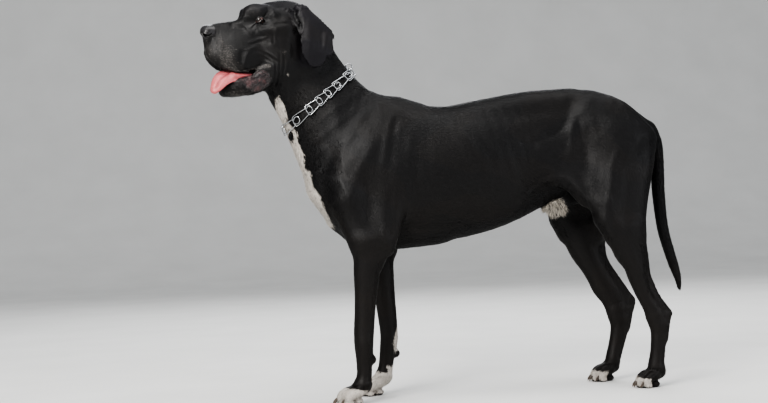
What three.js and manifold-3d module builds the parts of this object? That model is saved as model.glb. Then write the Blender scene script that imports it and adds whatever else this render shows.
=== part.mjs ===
// A great dane standing square, life size. Millimetres, +Z up, the dog faces -X and its left side is -Y.
// The body is one rounded solid blended from named muscles, bones and folds, meshed, thinned to flat facets
// and parted with thin plane cuts. Ears, tail, tongue, eyes, claws and collar are solids of their own.
import * as THREE from "three";
import Module from "manifold-3d";
const wasm = await Module();
wasm.setup();

// ---- what the body is made of ----
// name, kind, add or cut, blend radius,
// [side axis x,y,z, egg shape, end roundness, subdivisions] or [side axis, long axis] for a blob,
// rows of [x, y, z, half width, half depth], frame: W body, H head (forward, left, up), P a mirrored pair
const BODY = [
["chest and belly","tube","add",20,[0,1,0,0.08,0.9,3],[[-78,0,630,86,152],[0,0,642,104,208],[100,0,635,117,201],[200,0,635,120,188],[300,0,655,113,183],[400,0,684,97,169],[470,0,703,87,158],[560,0,720,89,140],[640,0,727,87,114],[700,0,730,78,84],[738,0,722,56,60]],"W"],
["neck","tube","add",42,[0,1,0,0,0.85,4],[[-262,0,992,56,90],[-230,0,934,59,99],[-188,0,866,64,109],[-110,0,752,84,152],[-52,0,686,98,182],[10,0,648,101,188]],"W"],
["crest of neck","tube","add",34,[0,1,0,0,1,3],[[-172,0,1004,24,32],[-124,0,922,30,38],[-72,0,858,34,34],[-20,0,836,30,26],[44,0,824,22,18]],"W"],
["throat skin","tube","add",26,[0,1,0,0,1,3],[[-288,0,866,15,22],[-257,0,810,22,22],[-224,0,740,26,24],[-196,0,680,28,26]],"W"],
["forechest","blob","add",40,[0,1,0,1,0,0,0],[[-160,0,622,48,58,58]],"W"],
["breast","tube","add",34,[0,1,0,0,1,3],[[-168,34,606,38,42],[-126,46,543,42,46],[-84,54,492,42,44]],"WP"],
["brisket","tube","add",30,[0,1,0,0,1,3],[[-132,0,520,34,34],[-60,0,482,46,42],[40,0,470,48,38],[150,0,474,46,34]],"W"],
["withers","tube","add",30,[0,1,0,0,1,2],[[0,0,828,22,16],[50,0,828,24,17],[100,0,816,22,16]],"W"],
["shoulder blade","tube","add",34,[0,1,0,0,1,3],[[24,40,800,24,58],[-48,68,706,31,66],[-112,82,610,32,56]],"WP"],
["point of shoulder","blob","add",30,[0,1,0,1,0,0,0],[[-112,87,578,38,32,46]],"WP"],
["loin","tube","add",40,[0,1,0,0,1,3],[[170,18,785,26,20],[270,24,803,28,22],[400,30,826,30,24],[520,36,830,34,28]],"WP"],
["croup","tube","add",34,[0,1,0,0,1,2],[[560,30,826,34,32],[640,34,798,38,38],[706,26,760,34,36]],"WP"],
["tail root","tube","add",24,[0,1,0,0,1,2],[[705,0,756,34,32],[752,0,752,28,27],[786,0,738,23,23]],"W"],
["tail","tube","add",14,[0,1,0,0,1,3],[[782,0,742,24,23],[803,0,708,22,21.5],[808,0,660,20.5,21],[808.5,0,601,19.5,20.5],[809,0,553,18.5,20],[817,0,455,17,18],[836,0,377,15.5,16.5],[848,0,337,14,15],[857,0,305,11.5,11.5],[861,0,276,7,7.5]],"W"],
["flank fold","tube","add",40,[0,1,0,0,1,3],[[440,64,666,24,50],[500,75,640,24,50],[545,86,600,23,42],[576,97,548,20,34]],"WP"],
["flank","tube","add",34,[0,1,0,0,1,3],[[548,54,735,26,34],[558,58,690,27,38],[562,60,650,27,38],[562,64,612,26,36],[566,74,578,24,32]],"WP"],
["sheath","tube","add",18,[0,1,0,0,1,3],[[606,0,562,20,22],[540,0,548,22,22],[498,0,530,17,17],[484,0,525,11,12]],"W"],

["triceps near","tube","add",30,[0,1,0,0,1,3],[[10,-80,650,25,62],[-8,-93,560,27,58],[-14,-102,480,26,44],[-16,-105,448,23,30]],"W"],
["upper arm near","tube","add",30,[0,1,0,0,1,3],[[-113,-88,568,30,44],[-94,-96,505,29,45],[-70,-102,455,28,46]],"W"],
["elbow near","blob","add",12,[0,1,0,0,0,1,0],[[-3,-107,437,24,13,15]],"W"],
["forearm near","tube","add",24,[0,1,0,0.0,1,4],[[-56,-102,455,29,56],[-60,-101,410,28.5,48],[-69,-99,370,27,39],[-74,-97,315,25.5,33],[-79,-96,262,24.5,30],[-84,-95,205,25,29],[-86,-95,170,26.5,27.5],[-86,-95,140,24,25],[-87,-95,115,21.5,22.5],[-88,-95,84,22,21.5],[-92,-95,60,24,23]],"W"],
["wrist pad near","blob","add",8,[0,1,0,0,0,1,0],[[-61,-96,124,13,9,9]],"W"],
["triceps far","tube","add",30,[0,1,0,0,1,3],[[30,80,650,25,62],[22,92,560,27,58],[22,99,480,26,42],[24,101,440,22,30]],"W"],
["upper arm far","tube","add",30,[0,1,0,0,1,3],[[-108,88,568,30,44],[-64,95,505,29,44],[-14,99,440,27,38]],"W"],
["elbow far","blob","add",12,[0,1,0,0,0,1,0],[[33,102,425,24,13,15]],"W"],
["forearm far","tube","add",24,[0,1,0,0.0,1,4],[[-6,99,445,29,44],[-4,98,390,28.5,40],[0,95,330,27,35],[5,92,275,25,31],[9,90,225,24,29],[11,87,185,25,27],[11,86,166,26,27],[7,85,138,23.5,25],[2,84,112,21.5,22.5],[-3,83,82,22,21.5],[-8,82,60,24,23]],"W"],
["wrist pad far","blob","add",8,[0,1,0,0,0,1,0],[[32,86,120,13,9,10]],"W"],

["hip and rump","tube","add",36,[0,1,0,0,1,3],[[585,56,795,36,60],[650,71,755,40,78],[700,77,700,38,78]],"WP"],
["thigh near","tube","add",34,[0,1,0,0,1,4],[[690,-70,722,42,86],[672,-80,660,42,90],[658,-90,600,40,82],[645,-100,540,36,68],[636,-106,486,33,54]],"W"],
["back of thigh near","tube","add",30,[0,1,0,0,1,3],[[756,-50,712,34,34],[741,-64,650,37,37],[722,-80,580,36,37],[709,-94,510,31,34],[704,-101,440,27,30]],"W"],
["stifle near","tube","add",26,[0,1,0,0,1,2],[[616,-104,526,26,30],[618,-108,480,25,26],[636,-109,436,23,24]],"W"],
["gaskin near","tube","add",20,[0,1,0,0,1,3],[[668,-107,460,36,56],[681,-106,396,32,46],[696,-104,360,28.5,35],[703,-103,324,24.5,29],[713,-101,295,22,26.5],[722,-100,274,21,26],[734,-99,251,20.5,26],[746,-98,230,21,28],[754,-97,213,21.5,30]],"W"],
["hock tendon near","tube","add",12,[0,1,0,0,1,3],[[712,-101,462,12,20],[720,-103,415,10,17],[728,-104,375,9,13],[737,-102,324,8,9],[748,-100,295,8,9],[757,-99,274,8,9],[770,-98,250,8,9.5],[784,-97,230,9,10],[793,-97,212,9,11]],"W"],
["hock near","blob","add",16,[0,1,0,-0.2,0,1,0],[[762,-97,194,34,21,31]],"W"],
["heel bone near","tube","add",10,[0,1,0,0,1,2],[[792,-97,211,12,12],[782,-97,180,12,15],[776,-96,140,12,14]],"W"],
["back pastern near","tube","add",14,[0,1,0,0,1,3],[[764,-96,180,20,25],[762,-96,140,19,23],[758,-95,100,19,22],[752,-94,66,22,23]],"W"],

["thigh far","tube","add",34,[0,1,0,0,1,4],[[676,70,722,42,86],[645,80,660,42,88],[612,90,600,40,80],[578,100,540,36,66],[560,106,490,33,52]],"W"],
["back of thigh far","tube","add",30,[0,1,0,0,1,3],[[746,50,712,34,34],[724,64,645,37,38],[697,80,575,36,40],[668,94,505,31,38],[648,101,440,27,32]],"W"],
["stifle far","tube","add",26,[0,1,0,0,1,2],[[537,104,526,26,30],[536,108,482,25,26],[554,109,441,23,24]],"W"],
["gaskin far","tube","add",20,[0,1,0,0,1,3],[[594,110,460,36,58],[606,110,410,32,51],[618,110,380,29,46],[634,110,350,27,41],[651,109,315,24.5,39],[667,109,286,22.5,42],[685,108,261,21,40.5],[698,108,240,21,41],[703,108,219,21.5,37]],"W"],
["hock tendon far","tube","add",12,[0,1,0,0,1,3],[[652,106,455,12,20],[658,109,412,10,17],[667,110,372,9,12],[682,110,345,8,9],[701,110,315,8,9],[720,109,286,8,9],[736,109,261,8,9.5],[748,108,240,9,10],[745,108,220,9,10]],"W"],
["hock far","blob","add",16,[0,1,0,-0.3,0,1,0],[[707,108,200,34,21,36]],"W"],
["heel bone far","tube","add",10,[0,1,0,0,1,2],[[748,108,237,12,11],[738,108,205,12,14],[727,108,160,12,13]],"W"],
["back pastern far","tube","add",14,[0,1,0,0,1,3],[[710,108,185,20,30],[705,108,145,19,27],[695,108,106,19,24],[685,108,72,22,23]],"W"]
];
const HEAD = [
["braincase","blob","add",12,[0,1,0,1,0,0,0],[[-62,0,-20,84,56,66]],"H"],
["occiput","tube","add",24,[0,1,0,0,1,2],[[-40,0,22,24,22],[-90,0,14,20,22],[-122,0,4,15,18]],"H"],
["temple","tube","add",22,[0,1,0,0,1,3],[[-20,36,4,18,26],[-60,44,-14,22,36],[-96,40,-30,24,40]],"HP"],
["forehead","blob","add",26,[0,1,0,1,0,0,0],[[2,0,5,46,41,37]],"H"],
["brow","tube","add",26,[0,1,0,0,1,3],[[29,28,22,12,19],[14,34,25,14,20],[-6,43,18,12,18],[-26,50,6,10,16]],"HP"],
["nape","tube","add",36,[0,1,0,0,1,2],[[-88,0,-20,48,50],[-106,0,-70,56,60],[-116,0,-120,60,70]],"H"],
["bridge","tube","add",14,[0,1,0,-0.1,0.6,3],[[8,0,-10,30,28],[45,0,-14,25,24],[80,0,-15,23,23],[110,0,-15,22,23],[134,0,-17,20,22]],"H"],
["muzzle","tube","add",18,[0,1,0,0,0.6,3],[[-6,0,-58,42,52],[50,0,-56,37,50],[100,0,-52,31,46],[134,0,-44,23,32]],"H"],
["cheek bone","tube","add",14,[0,1,0,0,1,3],[[30,39,-26,11,13],[6,49,-30,11,12],[-24,57,-29,11,13],[-62,62,-28,12,16]],"HP"],
["cheek","blob","add",24,[0,1,0,1,0,-0.1,0],[[-46,47,-76,46,25,52]],"HP"],
["upper lip","tube","add",14,[0,1,0,-0.3,0.8,3],[[140,13,-50,11,34],[122,24,-64,13,48],[96,31,-77,14,56],[62,37,-82,14,57],[28,40,-80,14,52],[-4,43,-82,13,44]],"HP"],
["jaw","tube","add",12,[0,1,0,0,0.8,3],[[126,0,-185,16,14],[100,0,-186,22,17],[66,0,-182,28,20],[30,0,-172,34,26],[-8,0,-150,42,38],[-44,0,-120,48,52]],"H"],
["lower lip","tube","add",8,[0,1,0,0,1,3],[[126,13,-178,10,18],[106,21,-176,10,22],[86,28,-176,10,25],[66,33,-176,11,26],[36,39,-173,12,28],[10,44,-158,12,31],[-14,47,-138,11,28]],"HP"],
["mouth floor","tube","add",8,[0,1,0,0,1,2],[[30,0,-165,24,10],[80,0,-165,24,11],[114,2,-168,17,11]],"H"],
["angle of jaw","blob","add",26,[0,1,0,1,0,-0.5,0],[[-44,44,-132,38,22,40]],"HP"],
["throat latch","blob","add",34,[0,1,0,1,0,0,0],[[-44,0,-172,44,42,44]],"H"],
["mouth","tube","cut",6,[0,1,0,0,1,2],[[152,0,-137,36,18],[104,0,-141,36,13],[62,0,-147,34,9],[24,0,-150,30,6]],"H"],
["lip front","tube","add",10,[0,1,0,0,1,2],[[151,0,-32,12,12],[149.5,0,-56,13,12],[146,0,-80,12,11.5]],"H"],
["inner corner","tube","add",20,[0,1,0,0,1,2],[[70,20,-10,8,12],[45,28,-4,11,16],[22,36,0,12,17]],"HP"],
["eye socket","blob","cut",6,[0,1,0,1,0.3,0,0],[[3,55,-2,13.5,9,8]],"HP"],
["nostril wing","blob","add",6,[0,1,0,1,0.2,0,0],[[143,14,-18,20,12,18]],"HP"],
["nose pad","blob","add",6,[0,1,0,1,0,0,0],[[148,0,-12,19,19,19]],"H"]
];
const EAR = [
["ear flap","tube","add",10,[0,1,0,0,0.8,4],[[-98,58,8,9,14],[-110,70,8,8,22],[-124,78,-16,7,26],[-135,84,-43,6.5,38],[-141,88,-72,6.2,54],[-140,90,-88,6,55],[-130,93,-113,6,45],[-122,94,-136,5.6,30],[-114,94,-149,5.4,15]],"H"],
["ear rim","tube","add",8,[0,1,0,0,1,3],[[-78,60,20,4,8],[-84,66,-8,4.5,10],[-94,76,-38,4.5,8],[-100,82,-56,4,8]],"H"]
];
const TONGUE = [
["tongue body","tube","add",12,[0,1,0,0,0.7,3],[[10,0,-152,22,8],[50,2,-150,27,11],[80,7,-147,27,11.5],[100,13,-142.5,25,9.5]],"H"],
["tongue tip","tube","add",14,[0.50,-0.50,0.70,0,1,3],[[90,12,-145,24,8.5],[112,22,-145,25,6.5],[130,28,-151,25,5],[146,32,-167,20,4.6],[157,33,-180,13,4.2],[160,33,-184,9,3.6]],"H"]
];

// ---- the head's own frame: turned 8 degrees to the left, nose 6 degrees down ----
const E0 = new THREE.Vector3(-340, -20, 1083);
const yaw = (8 * Math.PI) / 180, pitch = (6 * Math.PI) / 180;
const HF = new THREE.Vector3(-Math.cos(pitch) * Math.cos(yaw), -Math.cos(pitch) * Math.sin(yaw), -Math.sin(pitch));
const HL = new THREE.Vector3(Math.sin(yaw), -Math.cos(yaw), 0);
const HU = new THREE.Vector3().crossVectors(HF, HL);
if (HU.z < 0) HU.negate();
const headPoint = (a, b, c) => E0.clone().addScaledVector(HF, a).addScaledVector(HL, b).addScaledVector(HU, c);
const headVector = (a, b, c) => new THREE.Vector3().addScaledVector(HF, a).addScaledVector(HL, b).addScaledVector(HU, c);

// ---- rounded solids ----
function smoothRows(rows, n) {
  if (rows.length < 3) return rows;
  const out = [], w = rows[0].length;
  for (let i = 0; i < rows.length - 1; i++) {
    const p1 = rows[i], p2 = rows[i + 1];
    const p0 = i > 0 ? rows[i - 1] : p1.map((v, q) => 2 * v - p2[q]);
    const p3 = i + 2 < rows.length ? rows[i + 2] : p2.map((v, q) => 2 * v - p1[q]);
    for (let j = 0; j < n; j++) {
      const t = j / n, r = [];
      for (let q = 0; q < w; q++)
        r.push(0.5 * (2 * p1[q] + (p2[q] - p0[q]) * t + (2 * p0[q] - 5 * p1[q] + 4 * p2[q] - p3[q]) * t * t + (3 * p1[q] - p0[q] - 3 * p2[q] + p3[q]) * t ** 3));
      out.push(r);
    }
  }
  out.push(rows[rows.length - 1]);
  return out;
}
function frameOf(T, side) {
  const W = side.clone().addScaledVector(T, -side.dot(T)).normalize();
  const V = new THREE.Vector3().crossVectors(T, W);
  return [W, V];
}
function tubeSegments(rows, side, egg, cap, n) {
  const P = smoothRows(rows, n), segs = [];
  for (let i = 0; i < P.length - 1; i++) {
    const a = P[i], b = P[i + 1];
    const A = new THREE.Vector3(a[0], a[1], a[2]), T = new THREE.Vector3(b[0], b[1], b[2]).sub(A), L = T.length();
    T.divideScalar(L);
    const [W, V] = frameOf(T, side);
    if (V.z < 0 || (Math.abs(V.z) < 1e-6 && V.x > 0)) V.negate();
    segs.push({ A, T, W, V, L, a: [a[3], a[4], Math.min(a[3], a[4]) * cap], b: [b[3], b[4], Math.min(b[3], b[4]) * cap], egg });
  }
  return segs;
}
function blobSegments(c, r, T, side) {
  const t = T.clone().normalize(), [W, V] = frameOf(t, side);
  return [{ A: c, T: t, W, V, L: 0, a: [r[1], r[2], r[0]], b: [r[1], r[2], r[0]], egg: 0 }];
}
function solid(name, op, k, segs) {
  const lo = [1e9, 1e9, 1e9], hi = [-1e9, -1e9, -1e9];
  for (const s of segs)
    for (const [p, r] of [[s.A, s.a], [s.A.clone().addScaledVector(s.T, s.L), s.b]]) {
      const m = Math.max(...r) * (1 + Math.abs(s.egg));
      [p.x, p.y, p.z].forEach((v, i) => { lo[i] = Math.min(lo[i], v - m); hi[i] = Math.max(hi[i], v + m); });
    }
  return { name, op, k, segs: segs.map((s) => [s.A.x, s.A.y, s.A.z, s.T.x, s.T.y, s.T.z, s.W.x, s.W.y, s.W.z, s.V.x, s.V.y, s.V.z, s.L, ...s.a, ...s.b, s.egg]), lo, hi };
}
function fromTable(table, only) {
  const out = [];
  for (const [name, kind, op, k, o, rows, fr] of table)
    for (const sg of only ? [only] : fr.endsWith("P") ? [1, -1] : [1]) {
      const inHead = fr[0] === "H";
      const place = (r) => (inHead ? [...headPoint(r[0], r[1] * sg, r[2]).toArray(), ...r.slice(3)] : [r[0], r[1] * sg, r[2], ...r.slice(3)]);
      const side = inHead ? headVector(o[0], o[1] * sg, o[2]) : new THREE.Vector3(o[0], o[1], o[2]);
      if (kind === "tube") out.push(solid(name, op, k, tubeSegments(rows.map(place), side, o[3], o[4], o[5])));
      else {
        const T = inHead ? headVector(o[3], o[4] * sg, o[5]) : new THREE.Vector3(o[3], o[4] * sg, o[5]);
        const r = place(rows[0]);
        out.push(solid(name, op, k, blobSegments(new THREE.Vector3(r[0], r[1], r[2]), r.slice(3), T, side)));
      }
    }
  return out;
}
// A foot: four toes, each with its pad, and the large pad. (cx, cy) is the joint above the toes.
const clawSpots = [];
function foot(label, cx, cy, zt, turn, front) {
  const a = (turn * Math.PI) / 180, s = front ? 1 : 0.9;
  const f = new THREE.Vector3(-Math.cos(a), Math.sin(a), 0), l = new THREE.Vector3(Math.sin(a), Math.cos(a), 0), up = new THREE.Vector3(0, 0, 1);
  const w = (p) => new THREE.Vector3(cx, cy, 0).addScaledVector(f, p[0] * s).addScaledVector(l, p[1]).addScaledVector(up, p[2]);
  const tube = (name, k, rows) => solid(name, "add", k, tubeSegments(rows.map((r) => [...w(r).toArray(), r[3], r[4]]), l, 0, 1, 3));
  const blob = (name, k, c, r) => solid(name, "add", k, blobSegments(w(c), r, up, l));
  const out = [tube("foot", 14, [[-2, 0, zt, 23 * s, 23], [12, 0, 42, 25 * s, 22], [26, 0, 34, 28 * s, 18]])];
  let n = 1;
  for (let [b0, b1, middle] of [[-20, -27, 0], [-8.5, -10, 1], [8.5, 10, 1], [20, 27, 0]]) {
    b0 *= s; b1 *= s;
    if (middle) out.push(tube("toe", 7, [[20, b0, 40, 11 * s, 13], [42, b0 * 1.1, 38, 11.5 * s, 13.5], [57, b1, 26, 11 * s, 13], [63, b1, 16, 9.5 * s, 10]]));
    else out.push(tube("toe", 7, [[8, b0, 38, 10.5 * s, 13], [26, b0 * 1.2, 34, 11 * s, 14], [40, b1, 24, 10.5 * s, 13], [45, b1, 15, 9.5 * s, 10]]));
    out.push(blob("toe pad", 4, [middle ? 57 : 39, b1, 9], [9.5, 10 * s, 13]));
    const tip = middle ? 63 : 45;
    clawSpots.push({ name: label + "_claw_" + n++, foot: label, points: [w([tip - 4, b1, 21]), w([tip + 6, b1, 19]), w([tip + 15, b1 * 1.01, 11.5]), w([tip + 18, b1 * 1.02, 4.5])], side: l });
  }
  out.push(blob("large pad", 6, [16, 0, 11], [12, 21 * s, 19]));
  return out;
}
const feet = {
  fore_left: foot("fore_left", -96, -95, 52, 0, true),
  fore_right: foot("fore_right", -14, 81, 52, 4, true),
  hind_left: foot("hind_left", 757, -95, 48, 3, false),
  hind_right: foot("hind_right", 680, 108, 48, 0, false),
};
const floorCut = solid("floor", "cut", 5, tubeSegments([[-300, 0, -60, 400, 60], [1000, 0, -60, 400, 60]], new THREE.Vector3(0, 1, 0), 0, 1, 1));
const bodyAll = [...fromTable(BODY), ...fromTable(HEAD), ...Object.values(feet).flat(), floorCut];
const tailSolids = bodyAll.filter((p) => p.name === "tail");
const FLESH = [...bodyAll.filter((p) => p.op === "add" && p.name !== "tail"), ...bodyAll.filter((p) => p.op === "cut")];

// ---- signed distance of the blended solids at a point ----
function segDistance(s, x, y, z) {
  let qx = x - s[0], qy = y - s[1], qz = z - s[2], rw = s[13], rv = s[14], rt = s[15];
  if (s[12] > 0) {
    let h = (qx * s[3] + qy * s[4] + qz * s[5]) / s[12];
    h = h < 0 ? 0 : h > 1 ? 1 : h;
    const m = h * s[12];
    qx -= m * s[3]; qy -= m * s[4]; qz -= m * s[5];
    rw += (s[16] - rw) * h; rv += (s[17] - rv) * h; rt += (s[18] - rt) * h;
  }
  const w = qx * s[6] + qy * s[7] + qz * s[8], v = qx * s[9] + qy * s[10] + qz * s[11], t = qx * s[3] + qy * s[4] + qz * s[5];
  if (s[19]) rw *= 1 + s[19] * Math.max(-1, Math.min(1, v / rv));
  const a = w / rw, b = v / rv, c = t / rt;
  const k0 = Math.sqrt(a * a + b * b + c * c) + 1e-9, k1 = Math.sqrt((a / rw) ** 2 + (b / rv) ** 2 + (c / rt) ** 2) + 1e-9;
  return (k0 * (k0 - 1)) / k1;
}
function fieldAt(list, x, y, z) {
  let d = 1e3;
  for (const p of list) {
    const m = 60 + p.k;
    if (x < p.lo[0] - m || x > p.hi[0] + m || y < p.lo[1] - m || y > p.hi[1] + m || z < p.lo[2] - m || z > p.hi[2] + m) continue;
    let e = 1e9;
    for (const s of p.segs) e = Math.min(e, segDistance(s, x, y, z));
    if (p.op === "add") {
      const h = Math.max(p.k - Math.abs(d - e), 0) / p.k;
      d = Math.min(d, e) - h * h * p.k * 0.25;
    } else {
      e = -e;
      const h = Math.max(p.k - Math.abs(d - e), 0) / p.k;
      d = Math.max(d, e) + h * h * p.k * 0.25;
    }
  }
  return d;
}

// ---- surface of a field inside a box: every cube is six tetrahedra ----
const STEP = [[1, 0, 0], [0, 1, 0], [0, 0, 1], [1, 1, 0], [1, 0, 1], [0, 1, 1], [1, 1, 1]];
const ORDER = [[0, 1, 2], [1, 2, 0], [2, 0, 1], [0, 2, 1], [2, 1, 0], [1, 0, 2]];
function polygonise(list, lo, hi, h) {
  const near = list.filter((p) => [0, 1, 2].every((i) => p.lo[i] - p.k - 8 < hi[i] && p.hi[i] + p.k + 8 > lo[i]));
  const n = [0, 1, 2].map((i) => Math.ceil((hi[i] - lo[i]) / h) + 3);
  const org = lo.map((v) => v - h), N = n[0] * n[1] * n[2];
  const F = new Float32Array(N).fill(50);
  const at = (i, j, k) => (i * n[1] + j) * n[2] + k;
  const B = 4, reach = B * h * 0.9 + 4;
  for (let bi = 0; bi < n[0]; bi += B) for (let bj = 0; bj < n[1]; bj += B) for (let bk = 0; bk < n[2]; bk += B) {
    const cx = org[0] + (bi + B / 2) * h, cy = org[1] + (bj + B / 2) * h, cz = org[2] + (bk + B / 2) * h;
    const dc = fieldAt(near, cx, cy, cz), r = reach;
    const local = Math.abs(dc) > r * 1.6 ? null : near;
    for (let i = bi; i < Math.min(bi + B, n[0]); i++) for (let j = bj; j < Math.min(bj + B, n[1]); j++) for (let k = bk; k < Math.min(bk + B, n[2]); k++) {
      const x = org[0] + i * h, y = org[1] + j * h, z = org[2] + k * h;
      let d = local ? fieldAt(local, x, y, z) : dc;
      d = Math.max(d, lo[0] - x, x - hi[0], lo[1] - y, y - hi[1], lo[2] - z, z - hi[2]);
      if (Math.abs(d) < 1e-3 * h) d = 1e-3 * h;
      F[at(i, j, k)] = d;
    }
  }
  const ids = new Int32Array(N * 7).fill(-1), P = [], T = [];
  const vertexOn = (a, b) => { // a, b: [id, i, j, k]
    let p = a, q = b;
    if (q[0] < p[0]) [p, q] = [q, p];
    const d = STEP.findIndex((s) => s[0] === q[1] - p[1] && s[1] === q[2] - p[2] && s[2] === q[3] - p[3]);
    const key = p[0] * 7 + d;
    if (ids[key] < 0) {
      const fa = F[p[0]], fb = F[q[0]], t = Math.min(0.97, Math.max(0.03, fa / (fa - fb)));
      ids[key] = P.length / 3;
      for (let c = 0; c < 3; c++) P.push(org[c] + (p[1 + c] + (q[1 + c] - p[1 + c]) * t) * h);
    }
    return ids[key];
  };
  for (let i = 0; i < n[0] - 1; i++) for (let j = 0; j < n[1] - 1; j++) for (let k = 0; k < n[2] - 1; k++) {
    let s = 0;
    for (const [a, b, c] of [[0, 0, 0], ...STEP]) if (F[at(i + a, j + b, k + c)] < 0) s++;
    if (s === 0 || s === 8) continue;
    ORDER.forEach((o, oi) => {
      const v = [[at(i, j, k), i, j, k]], c = [i, j, k];
      for (const ax of o) { c[ax]++; v.push([at(...c), ...c]); }
      if (oi > 2) [v[2], v[3]] = [v[3], v[2]]; // keep every tetrahedron turned the same way
      const inside = [0, 1, 2, 3].filter((q) => F[v[q][0]] < 0), out = [0, 1, 2, 3].filter((q) => F[v[q][0]] >= 0);
      if (!inside.length || !out.length) return;
      const ordr = [...inside, ...out];
      let odd = 0;
      for (let x = 0; x < 4; x++) for (let y = x + 1; y < 4; y++) if (ordr[x] > ordr[y]) odd ^= 1;
      if (odd) { if (inside.length === 2) [ordr[2], ordr[3]] = [ordr[3], ordr[2]]; else if (inside.length === 1) [ordr[2], ordr[3]] = [ordr[3], ordr[2]]; else [ordr[0], ordr[1]] = [ordr[1], ordr[0]]; }
      const [a, b, cc, d] = ordr.map((q) => v[q]);
      if (inside.length === 1) T.push(vertexOn(a, b), vertexOn(a, cc), vertexOn(a, d));
      else if (inside.length === 3) T.push(vertexOn(d, a), vertexOn(d, b), vertexOn(d, cc));
      else {
        const e = vertexOn(a, cc), f = vertexOn(a, d), g = vertexOn(b, d), hh = vertexOn(b, cc);
        T.push(e, f, g, e, g, hh);
      }
    });
  }
  return { P: Float64Array.from(P), T: Int32Array.from(T) };
}

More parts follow.
